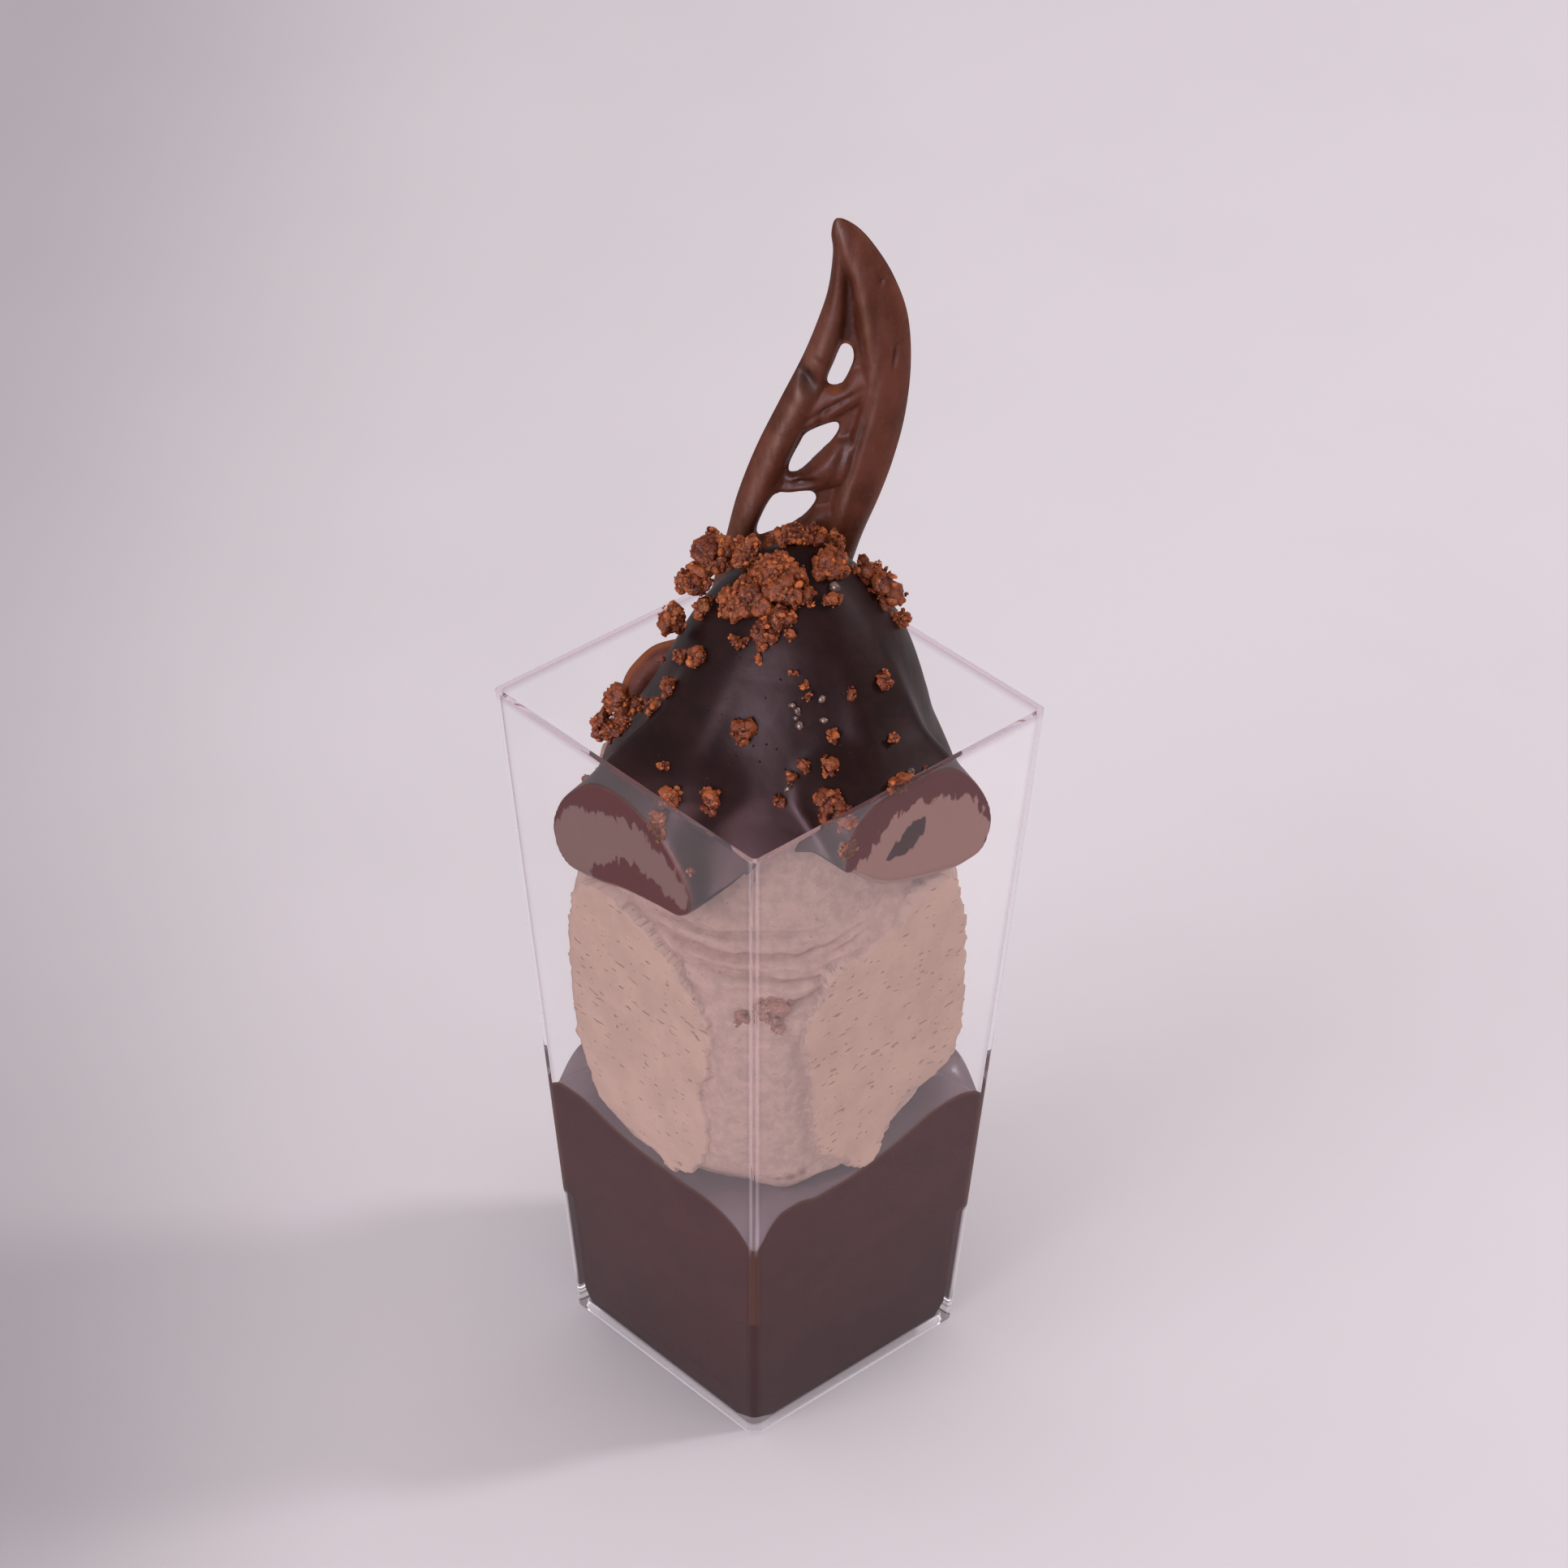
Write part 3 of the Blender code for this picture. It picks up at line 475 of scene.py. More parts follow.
def new_group(name, inputs, outputs, fill):
    """A shader node group with named sockets, filled once: fill(tree, inputs) gives its outputs.

    An input's default tells its kind: None for a vector, a colour or a number.
    """
    if name in bpy.data.node_groups:
        return bpy.data.node_groups[name]
    tree = bpy.data.node_groups.new(name, "ShaderNodeTree")
    for label, default in inputs.items():
        kind = {type(None): "Vector", tuple: "Color", float: "Float"}[type(default)]
        socket = tree.interface.new_socket(label, in_out="INPUT", socket_type="NodeSocket" + kind)
        if default is not None:
            socket.default_value = default
    for label, kind in outputs.items():
        tree.interface.new_socket(label, in_out="OUTPUT", socket_type="NodeSocket" + kind)
    given = {socket.name: Field(tree, socket) for socket in tree.nodes.new("NodeGroupInput").outputs}
    made = tree.nodes.new("NodeGroupOutput")
    for label, value in fill(tree, given).items():
        value.feeds(made, label)
    return tree


def fill_tone(tree, given):
    """A colour that wanders between a darker and a lighter one, with the field behind it."""
    fineness = field(tree, "ShaderNodeMath", 0, {0: 1.0, 1: given["Size mm"]}, operation="DIVIDE")
    wander = cloud(tree, given["Place"], fineness, 5.0, 0.6)
    share = remap(wander, 0.35, 0.65)
    return {"Field": share, "Colour": blend(share, given["Dark"], given["Light"])}


def fill_grain(tree, given):
    """The height of a fine grain with scattered small pits."""
    fine, coarse = (field(tree, "ShaderNodeMath", 0, {0: 1.0, 1: given[label]}, operation="DIVIDE")
                    for label in ("Grain mm", "Pit mm"))
    grain = cloud(tree, given["Place"], fine, 4.0, 0.65)
    cells = field(tree, "ShaderNodeTexVoronoi", "Distance", {"Vector": given["Place"], "Scale": coarse})
    pits = remap(cells, 0.0, given["Pit share"], 1.0, 0.0)
    return {"Height": grain * given["Grain"] - pits}


def use_group(tree, group, inputs):
    """Place a group in a material with its own values: its outputs by name."""
    made = node(tree, "ShaderNodeGroup", node_tree=group)
    for key, value in inputs.items():
        plug(tree, made.inputs[key], value)
    return {socket.name: Field(tree, socket) for socket in made.outputs}


def uneven(tree, spot, size, dark, light):
    """The uneven-tone group with its own place, size in millimetres and two colours."""
    group = new_group("Uneven tone", {"Place": None, "Dark": (0.1, 0.05, 0.04, 1.0),
                                      "Light": (0.2, 0.1, 0.08, 1.0), "Size mm": 3.0},
                      {"Colour": "Color", "Field": "Float"}, fill_tone)
    return use_group(tree, group, {"Place": spot, "Dark": dark, "Light": light, "Size mm": size})


def grainy(tree, spot, grain, pit, pit_share, strength=1.0):
    """The grain-and-pits group's height, with its own place and sizes in millimetres."""
    group = new_group("Grain and pits", {"Place": None, "Grain mm": 0.5, "Pit mm": 2.0,
                                         "Pit share": 0.1, "Grain": 1.0}, {"Height": "Float"}, fill_grain)
    return use_group(tree, group, {"Place": spot, "Grain mm": grain, "Pit mm": pit,
                                   "Pit share": pit_share, "Grain": strength})["Height"]


def surface(name, **sockets):
    """A new material with a Principled shader: (material, tree, shader)."""
    material = bpy.data.materials.new(name)
    material.use_nodes = True
    tree = material.node_tree
    shader = tree.nodes["Principled BSDF"]
    for key, value in sockets.items():
        shader.inputs[key.replace("_", " ")].default_value = value
    return material, tree, shader


def bump(shader, height, distance_mm):
    """Let a height field shade the surface."""
    field(height.tree, "ShaderNodeBump", "Normal",
          {"Height": height, "Distance": distance_mm * MM}).feeds(shader, "Normal")


def rgb(colour, factor=1.0):
    """A colour times a factor, with full alpha."""
    return (*(min(c * factor, 1.0) for c in colour), 1.0)


# ---------------------------------------------------------------- the cup

OUTER_CORNER, LIP_CORNER, INNER_CORNER = 1.0, 0.6, 0.5       # radii of the cup's upright edges
BESIDE_CORNER = 0.5             # how far the flats' first points lie from the corner's end
FOOT_ROUND, LIP_OUT, LIP_IN, FLOOR_ROUND = 0.25, 0.12, 0.08, 0.5    # how far the edges are rounded
UNDER_RINGS, LOW_RINGS, OUTER_RINGS = 5, 13, 20      # the cup's rings, counted from under its floor
# Painted light: an emission standing for light gathered and reflected in the plastic,
# and the heights that bound it.
LINE_GLOW, FOOT_GLOW, RIB_GLOW, VEIL_GLOW, MIDDLE_GLOW = 0.25, 0.28, 0.66, 0.028, 0.35
LINE_FROM, FOOT_TO, RIB_FROM, RIB_TO = 31.5, 1.05, 0.5, 18.5
LINE_PLACES = (2, 4)            # the corner's points that the two bright lines run along
TRAPPED_AFTER = 4.5             # bounces of a ray
CLEAR_PASSAGE = (0.93, 0.92, 0.93, 1.0)


def square_ring(half, corner, flat, height, steps=5):
    """A square outline with corners rounded (flat 0) or cut straight (flat 1), at a height."""
    share = np.linspace(0.0, 1.0, steps)
    turn = share * math.pi / 2
    round_x = half - corner + corner * np.cos(turn)
    round_y = half - corner + corner * np.sin(turn)
    cut_x, cut_y = half - corner * share, half - corner * (1.0 - share)
    beside = half - corner - BESIDE_CORNER
    x = np.concatenate([[half], round_x + (cut_x - round_x) * flat, [beside]])
    y = np.concatenate([[beside], round_y + (cut_y - round_y) * flat, [half]])
    quarter = [(x, y), (-y, x), (-x, -y), (y, -x)]
    ring = np.concatenate([np.stack(pair, axis=1) for pair in quarter])
    return np.concatenate([ring, np.full((len(ring), 1), height)], axis=1)


def cup_rings(wall):
    """The cup's section from under its floor, round the rim and down to the floor inside.

    Half widths grow evenly with height. The foot, the rim and the floor's edge turn by quarter circles,
    and the inner corners change from round to cut at the top of the ribs.
    """
    outer = lambda z: CUP_BASE_HALF + WALL_SLOPE * z
    inner = lambda z: outer(z) - wall
    quarter = np.linspace(0.0, math.pi / 2, 5)
    sine, rest = np.sin(quarter), 1.0 - np.cos(quarter)
    ease = 1.0 - sine
    top = CUP_HEIGHT
    rings = [square_ring(outer(0) - inset, corner, 0, z)
             for inset, corner, z in ((1.55, 0.5, 1.0), (1.4, 0.6, 0.92), (1.32, 0.6, 0.2), (1.2, 0.6, 0.0))]
    rings += [square_ring(outer(0) - FOOT_ROUND * e, OUTER_CORNER, 0, FOOT_ROUND * r)
              for e, r in zip(ease, rest)]
    rings += [square_ring(outer(z), OUTER_CORNER, 0, z)
              for z in (6.0, 18.0, 18.6, 30.5, 32.5, 40.0, 65.0, 91.0)]
    rings += [square_ring(outer(top) - LIP_OUT * r, OUTER_CORNER, 0, top - LIP_OUT * e)
              for e, r in zip(ease, rest)]
    rings += [square_ring(inner(top) + LIP_IN * e, LIP_CORNER, 0, top - LIP_IN * r)
              for e, r in zip(ease, rest)]
    rings += [square_ring(inner(z), INNER_CORNER, 0, z) for z in (91.0, 65.0, 40.0, RIB_HIGH + 0.4)]
    rings += [square_ring(inner(z), INNER_CORNER + (RIB_LEG - INNER_CORNER) * s, s, z)
              for z, s in ((RIB_HIGH, 0.06), (18.5, 0.4), (18.0, 0.8), (RIB_LOW, 0.97), (17.2, 1.0))]
    rings += [square_ring(inner(z), RIB_LEG, 1, z) for z in (12.0, 6.0, FLOOR_TOP + FLOOR_ROUND)]
    rings += [square_ring(inner(FLOOR_TOP + FLOOR_ROUND) - FLOOR_ROUND * r, RIB_LEG, 1,
                          FLOOR_TOP + FLOOR_ROUND * e) for e, r in zip(ease[1:], rest[1:])]
    rings += [square_ring(inner(FLOOR_TOP) - 4.0, 1.5, 0.5, FLOOR_TOP)]
    return np.array(rings)


def cup_values(rings):
    """At the cup's points: how much painted shade darkens it where it is seen edge on, and how much
    painted glow it gives.

    The rim counts most as an edge. A painted glow stands for light gathered in the side corners up to the
    ribs, under the foot and along two lines of the shown corner, over a faint painted veil on all the
    plastic.
    """
    rows, columns, _ = rings.shape
    ring = np.arange(rows)[:, None]
    beside = np.arange(columns) % (columns // 4)
    corner = ((beside > 0) & (beside < columns // 4 - 1))[None]
    x, y, height = np.moveaxis(rings, -1, 0)
    # How much painted edge shade each point takes: most at the rim, some in the corners.
    edge = np.where(height > CUP_HEIGHT - 0.3, 1.0, np.where(corner, 0.35, 0.0))
    sideways = np.abs(x + y) > x.max()
    rib = (ring < LOW_RINGS) & corner & sideways & (height > RIB_FROM) & (height < RIB_TO)
    foot = (ring < UNDER_RINGS) & (height < FOOT_TO)
    line = np.isin(beside, LINE_PLACES)[None]
    shown = (x > 0) & (y < 0) & (height > LINE_FROM) & (ring < OUTER_RINGS) & line
    return edge, np.select([shown, foot, rib], [LINE_GLOW, FOOT_GLOW, RIB_GLOW], VEIL_GLOW)


def clear_plastic(chosen):
    """Clear moulded plastic: smooth, faintly smudged, and open to light that casts shadows.

    A ray that has bounced about inside the wall is let out, so that the edges stay clear. A painted glow
    (emission) stands for light that the foot, the ribs, the shown corner and the walls gather.
    """
    material, tree, shader = surface("clear_plastic", Metallic=0.0, Transmission_Weight=1.0,
                                     IOR=chosen.ior, Roughness=0.0, Emission_Strength=1.0,
                                     Specular_Tint=(0.95, 0.80, 0.87, 1.0))
    tone = uneven(tree, place(tree), 14.0, rgb(chosen.tint, 0.985), rgb(chosen.tint))
    # Painted shade: the plastic is darkened where it is seen edge on.
    blend(point_value(tree, "edge"), tone["Colour"], rgb(chosen.edge)).feeds(shader, "Base Color")
    # Painted glow: an emission for light gathered in the foot, the ribs, the corner lines and the walls.
    blend(point_value(tree, "glow"), rgb((0.0, 0.0, 0.0)), rgb(chosen.glow)).feeds(shader, "Emission Color")
    path = node(tree, "ShaderNodeLightPath")
    shadow, bounced, depth = (Field(tree, path.outputs[label])
                              for label in ("Is Shadow Ray", "Is Diffuse Ray", "Ray Depth"))
    trapped = depth.of("GREATER_THAN", TRAPPED_AFTER)
    open_to = shadow.of("MAXIMUM", bounced).of("MAXIMUM", trapped)
    clear = field(tree, "ShaderNodeBsdfTransparent", 0, {"Color": CLEAR_PASSAGE})
    mix = node(tree, "ShaderNodeMixShader", {0: open_to, 1: Field(tree, shader.outputs[0]), 2: clear})
    tree.links.new(mix.outputs[0], tree.nodes["Material Output"].inputs["Surface"])
    return material


# ---------------------------------------------------------------- what fills the cup

def layer_level(x, y):
    """Height of the chocolate layer away from the walls: a gentle slope with a mound by each corner."""
    half = inner_half(LAYER_LEVEL)
    back, right = (y - x) * TURN, (x + y) * TURN
    from_corner = np.hypot(half - np.abs(x), half - np.abs(y))
    mound = 1.6 * np.exp(-((from_corner - 6.5) / 3.6) ** 2)
    beside = smooth_step(np.abs(right), 14.0, 22.0)
    mound = mound + 1.3 * beside * np.exp(-((from_corner - 5.0) / 3.5) ** 2)
    dip = 1.8 * np.exp(-(from_corner / 2.2) ** 2)
    return LAYER_LEVEL + 0.07 * back + 0.03 * right + mound - dip


def layer_line(x, y):
    """Height of the layer's top line at the walls: knots on the shown walls, a slope behind."""
    on_left = np.abs(y + np.maximum(np.abs(x), np.abs(y))) < 1e-6
    on_right = np.abs(x - np.maximum(np.abs(x), np.abs(y))) < 1e-6
    line = layer_level(x, y)
    line = np.where(on_left, through(LAYER_LEFT, x), line)
    return np.where(on_right & ~on_left, through(LAYER_RIGHT, y), line)


def layer_outline(height, leg, per_side=70):
    """A square outline on the walls with cut corners and evenly spaced points."""
    half = inner_half(height) + REACH
    along = np.linspace(-1.0, 1.0, per_side) * (half - leg)
    across = np.full_like(along, half)
    x = np.concatenate([across, -along, -across, along])
    y = np.concatenate([along, across, -along, -across])
    return np.stack([x, y, np.full_like(x, height)], axis=1)


def layer_grid():
    """The chocolate layer: rings up the walls to the top line, then inwards over its top."""
    rings = [layer_outline(z, leg) for z, leg in (
        (FLOOR_TOP - REACH, RIB_LEG), (6.0, RIB_LEG), (12.0, RIB_LEG), (RIB_LOW, RIB_LEG),
        (18.1, 1.9), (18.6, 0.9), (RIB_HIGH + 0.2, 0.3))]
    line = layer_outline(LAYER_LEVEL, 0.3)
    line[:, 2] = layer_line(line[:, 0], line[:, 1])
    start = layer_outline(RIB_HIGH + 0.2, 0.3)
    for share in np.linspace(0.08, 1.0, 26):
        ring = layer_outline(RIB_HIGH, 0.3)
        ring[:, 2] = start[:, 2] + (line[:, 2] - start[:, 2]) * share
        ring[:, :2] *= ((inner_half(ring[:, 2]) + REACH) / (inner_half(RIB_HIGH) + REACH))[:, None]
        rings.append(ring)
    side_rows = len(rings)
    edge = rings[-1].copy()
    for share in (0.995, 0.985, 0.97, 0.95, 0.925, 0.9, 0.87, 0.84, 0.8, 0.76, 0.72, 0.67, 0.6, 0.5,
                  0.35, 0.2):
        ring = edge * (share, share, 1.0)
        inward = (1.0 - share) * inner_half(LAYER_LEVEL)
        level = layer_level(ring[:, 0], ring[:, 1])
        keep = math.exp(-inward / 2.6)
        meniscus = 0.35 * math.exp(-inward / 0.5) - 0.35
        ring[:, 2] = level + (edge[:, 2] - layer_level(edge[:, 0], edge[:, 1])) * keep
        ring[:, 2] += meniscus * (1.0 - keep) + 0.12 * noise(ring / 4.0, 31) * smooth_step(inward, 0, 2)
        rings.append(ring)
    grid = np.array(rings)
    below = edge[None, :, 2] - grid[..., 2]
    below[side_rows:] = 0.0
    corner = np.hypot(inner_half(grid[..., 2]) + REACH - np.abs(grid[..., 0]),
                      inner_half(grid[..., 2]) + REACH - np.abs(grid[..., 1]))
    top = np.zeros_like(below)
    top[side_rows:] = 1.0
    return grid, below, corner, top


def layer_material(chosen):
    """Chocolate cream: painted shade low down, a warm line along its top edge, and a top painted paler
    for its sheen under a dull coat.
    """
    material, tree, shader = surface("layer_cream", Roughness=0.42, Specular_IOR_Level=0.0,
                                     Coat_Roughness=0.3)
    tone = uneven(tree, place(tree, (1.0, 1.0, 1.6)), 7.0, rgb(chosen.dark), rgb(chosen.light))
    height = field(tree, "ShaderNodeSeparateXYZ", "Z", {"Vector": place(tree)})
    # Painted shade: the cream is darker towards the bottom.
    shaded_low = blend(remap(height, 3.0, 30.0, 0.38, 0.0), tone["Colour"], rgb(chosen.dark, 0.15))
    top = point_value(tree, "top")
    line = remap(point_value(tree, "below"), 0.25, 0.6, 1.0, 0.0) * remap(top, 0.2, 0.8, 1.0, 0.0)
    upright = remap(point_value(tree, "corner"), 0.35, 1.0, 1.0, 0.0)
    warm = blend(line.of("MAXIMUM", upright), shaded_low, rgb(chosen.rim))
    # Painted sheen: the top is painted paler for the light it reflects, with a coat over it.
    on_top = remap(top, 0.35, 1.0)
    blend(on_top, warm, rgb(chosen.top)).feeds(shader, "Base Color")
    (on_top * 0.6).feeds(shader, "Coat Weight")
    bump(shader, grainy(tree, place(tree), 2.5, 3.0, 0.08) * on_top, 0.05)
    return material


def mousse_centre(height):
    """The column stands upright and leans back towards its top."""
    return on_diagonals(0.0, 2.5 * smooth_step(height, 60.0, 76.0))


def mousse_free(angle, height):
    """Free radius of the mousse column: fuller towards the side corners."""
    sideways = np.sin(angle - FRONT) ** 4
    main, side = through(MOUSSE_PROFILE, height), through(MOUSSE_SIDES, height)
    slim = 2.4 * smooth_step(degrees_from_front(angle), 25, 65) * (1.0 - smooth_step(height, 37, 50))
    toe = 1.7 * np.exp(-((degrees_from_front(angle) - 9.0) / 10.0) ** 2)
    toe = toe * (1.0 - smooth_step(height, 35, 42))
    return main + (side - main) * sideways - slim + toe


def mousse_folds(free, front, bend):
    """Cut the folds into the free radius: a narrow groove with a soft swelling below each.

    Gives the radius and how deep each point lies in a groove, which sets the painted shade in the folds.
    """
    fold = np.zeros_like(free)
    for middle, level, reach, rise, arch, deep in MOUSSE_FOLDS:
        off = front - middle
        above = bend - (level + rise * off + arch * off ** 2)
        fade = np.exp(-(off / reach) ** 4)
        groove = deep * fade * np.exp(-(above / 0.28) ** 2)
        free = free - 1.7 * groove + 0.9 * deep * fade * np.exp(-((above + 0.75) / 0.5) ** 2)
        fold = np.maximum(fold, groove)
    return free, fold


def mousse_contact(angle, height, spot, free, wall):
    """Distance inside the pressed areas, with torn edges, and a mask of the two shown walls."""
    front = degrees_from_front(angle)
    along_left, _, along_right, _ = wall_place(*mousse_centre(height), angle, height)
    on_left = (-np.sin(angle) > 0.5) & (front <= 0)
    on_right = (np.cos(angle) > 0.5) & (front > 0)
    contact = (free - wall) * 2.0
    contact[on_left] = inside_distance(PATCH_LEFT, along_left[on_left], height[on_left])
    contact[on_right] = inside_distance(PATCH_RIGHT, along_right[on_right], height[on_right])
    calm = 1.0 - 0.35 * smooth_step(np.abs(front), 45, 62)
    torn = 0.62 * noise(spot / (2.4, 2.4, 1.6), 12) + 0.42 * noise(spot / (0.9, 0.9, 0.7), 13)
    return contact + torn * calm, np.where(on_left | on_right, 1.0, 0.0)


def mousse_grid(columns=440, rows=220):
    """The mousse column: a free radius with folds, pressed flat inside two torn outlines.

    Inside an outline the radius is the wall's; outside it drops over a short way by 0.7 mm and then
    follows the free radius. Above the dome's edge it stays under the dome.
    """
    angle = np.arange(columns)[None, :] * 2 * math.pi / columns + np.zeros((rows, 1))
    height = (MOUSSE_LOW + (MOUSSE_HIGH - MOUSSE_LOW) * np.linspace(0.0, 1.0, rows)[:, None]
              + np.zeros((1, columns)))
    front = degrees_from_front(angle)
    x0, y0 = mousse_centre(height)
    free = mousse_free(angle, height)
    spot = np.stack([free * np.cos(angle), free * np.sin(angle), height], axis=-1)
    free = free + 0.34 * noise(spot / (9.0, 9.0, 7.0), 5) + 0.14 * layered_noise(spot / 2.2, 3, 9)
    bend = height + 0.6 * noise(spot / 6.0, 21) + 0.3 * noise(spot / 2.5, 22)
    free, fold = mousse_folds(free, front, bend)
    creased = smooth_step(height, 52, 60) * (1 - smooth_step(height, 73, 79))
    creased = creased * (1 - smooth_step(np.abs(front), 36, 50))
    crease = np.abs(noise(np.stack([front / 40.0, bend / 2.0, 0 * bend], axis=-1), 24))
    free = free - creased * 0.14 * np.exp(-(crease / 0.12) ** 2)
    wall = wall_distance(x0, y0, angle, height)
    contact, shown = mousse_contact(angle, height, spot, free, wall)
    drop = 0.7 * (1.0 - np.exp(np.minimum(contact, 0.0) / 0.30)) * shown
    turn = np.maximum(np.abs(np.cos(angle)), np.abs(np.sin(angle)))
    limit = wall + (MOUSSE_REACH * smooth_step(contact, 0.0, 0.25) - drop) / turn
    radius = np.where((contact > 0) & (shown > 0), limit, np.minimum(free, limit))
    over_x, over_y = dome_centre(height)
    aside = (over_x - x0) * np.cos(angle) + (over_y - y0) * np.sin(angle)
    covered = height > dome_edge(angle) + 0.6
    radius = np.where(covered, np.minimum(radius, dome_radius(angle, height) + aside - 0.9), radius)
    points = np.stack([x0 + radius * np.cos(angle), y0 + radius * np.sin(angle), height], axis=-1)
    # Darker marks low down join the fold value and take its painted shade colour.
    for middle, level, wide, high in MOUSSE_DARK_MARKS:
        dark_mark = np.exp(-((front - middle) / wide) ** 2 - ((height - level) / high) ** 2)
        fold = np.maximum(fold, 1.2 * dark_mark)
    return points, contact, fold


def mousse_material(chosen):
    """Mousse: felted where it is free, smooth with small dashes where it is pressed, painted shade
    in its folds and pits.
    """
    material, tree, shader = surface("mousse_body", Roughness=0.62, Specular_IOR_Level=0.1)
    spot = place(tree)
    pressed = remap(point_value(tree, "contact"), -0.12, 0.04)
    patch = uneven(tree, spot, 5.0, rgb(chosen.patch, 0.93), rgb(chosen.patch, 1.05))
    free = uneven(tree, spot, 1.4, rgb(chosen.free, 0.88), rgb(chosen.free, 1.08))
    colour = blend(pressed, free["Colour"], patch["Colour"])
    # Painted shade: the pits and the folds are darkened towards the shade colour.
    dashes = cloud(tree, place(tree, (0.55, 0.55, 2.0)), 1.15, 2.0)
    pits = remap(dashes, 0.65, 0.75) * (pressed * 0.8 + 0.2)
    folded = point_value(tree, "fold").of("MULTIPLY", (pressed * 0.8).rest(), clamp=True)
    blend((pits * 0.34).of("MAXIMUM", folded), colour, rgb(chosen.shade)).feeds(shader, "Base Color")
    felt = grainy(tree, spot, 0.35, 1.1, 0.12) * (pressed * 0.85).rest()
    bump(shader, felt - pits * 1.5, 0.16)
    return material


def dome_edge(angle):
    """Height of the dome's lower edge round the column."""
    return through(DOME_EDGE, degrees_from_front(angle))


def dome_centre(height):
    """The dome's centre line, which drifts to the right as it rises."""
    return on_diagonals(through(DOME_LATERAL, height), DOME_DEPTH)


def wall_place(x0, y0, angle, height):
    """Where a ray from a centre meets the two shown walls: places along them and distances."""
    half = inner_half(height)
    to_left = (half + y0) / np.maximum(-np.sin(angle), 1e-3)
    to_right = (half - x0) / np.maximum(np.cos(angle), 1e-3)
    return x0 + to_left * np.cos(angle), to_left, y0 + to_right * np.sin(angle), to_right


def dome_radius(angle, height):
    """Dome radius about its centre line: a cone that flares into two lobes pressed on the walls.

    Outside a lobe's outline the surface leaves the wall by a hyperbola of the distance to it.
    """
    x0, y0 = dome_centre(height)
    from_wall = np.abs((angle + math.pi / 4) % (math.pi / 2) - math.pi / 4)
    away = smooth_step(np.abs(degrees_from_front(angle)), 45.0, 60.0)
    inward = 1.0 - smooth_step(np.abs(degrees_from_front(angle)), 30.0, 45.0)
    strength = smooth_step(np.cos(angle - FRONT), -0.4, 0.2)
    spread = np.sin(2.0 * from_wall) ** 2 / np.sin(2.0 * np.radians(through(LOBE_HALF_ANGLES, height))) ** 2
    lobes = through(DOME_LOBES, height) * strength / (
        1.0 + (spread * (1.0 + 0.7 * away + 0.6 * inward)) ** LOBE_FLATNESS)
    belly = through(DOME_BELLY, height) * (1.0 - smooth_step(np.abs(degrees_from_front(angle)), 14, 42))
    free = np.maximum(through(DOME_PROFILE, height) + lobes + belly, 1e-6)
    free = smooth_minimum(free, wall_distance(x0, y0, angle, height, -1.3), 1.6)
    along_left, to_left, along_right, to_right = wall_place(x0, y0, angle, height)
    for knots, along, reach, turn, outer in (
            (LOBE_LEFT, along_left, to_left, -np.sin(angle), smooth_step(-along_left, 5.0, 11.0)),
            (LOBE_RIGHT, along_right, to_right, np.cos(angle), smooth_step(along_right, 7.0, 13.0))):
        near = (turn > 0.3) & (height > 66) & (height < 106)
        inside = np.full(np.shape(angle), -30.0)
        inside[near] = inside_distance(knots, along[near], height[near])
        outside = np.maximum(0.15 - inside, 0.0)
        bend = 1.0 - 0.4 * outer
        steep = 2.7 - 1.5 * smooth_step(height, 83.0, 90.0) + 1.2 * outer
        leave = steep * (np.sqrt(outside ** 2 + bend ** 2) - bend)
        leave = leave + 0.20 * np.maximum(height - 91.0, 0.0) ** 2
        lobe = reach + (REACH * smooth_step(inside, -0.2, 0.4) - leave) / np.maximum(turn, 0.3)
        free = np.where(near, smooth_maximum(free, lobe, 1.0), free)
    return np.minimum(free, wall_distance(x0, y0, angle, height, REACH))


def dome_grid(columns=440, rows=190):
    """The dome: from its lower lip up to its apex, with an underside that rests on the mousse."""
    angle = np.arange(columns)[None, :] * 2 * math.pi / columns + np.zeros((rows, 1))
    share = np.linspace(0.0, 1.0, rows)[:, None] ** 1.25 * 0.999
    edge = dome_edge(angle)
    height = edge + (DOME_APEX - edge) * share
    rim_x, rim_y = mousse_centre(edge)
    rim = np.minimum(mousse_free(angle, edge) - 0.3, wall_distance(rim_x, rim_y, angle, edge, -0.6))
    lip_height = 0.7 + 1.7 * (1 - smooth_step(edge, 76.0, 83.0))
    lip = np.clip((height - edge) / lip_height, 0.0, 1.0)
    out = np.sqrt(1.0 - (1.0 - lip) ** 2)
    radius = dome_radius(angle, height)
    spot = np.stack([radius * np.cos(angle), radius * np.sin(angle), height], axis=-1)
    loose = wall_distance(*dome_centre(height), angle, height) - radius > 0.3
    radius = radius + np.where(loose, 0.09 * noise(spot / (6.0, 6.0, 8.0), 41)
                               + 0.02 * noise(spot / 1.5, 43), 0.0) * smooth_step(radius, 0, 3)
    radius = rim + (radius - rim) * out
    new_x, new_y = dome_centre(height)
    x0, y0 = rim_x + (new_x - rim_x) * out, rim_y + (new_y - rim_y) * out
    points = np.stack([x0 + radius * np.cos(angle), y0 + radius * np.sin(angle), height], axis=-1)
    under = []
    for share in (0.3, 0.75):
        ring = points[0] * (share, share, 1.0)
        ring[:, 2] = DOME_UNDER + (points[0, :, 2] - DOME_UNDER) * share
        under.append(ring)
    return np.concatenate([np.array(under), points])


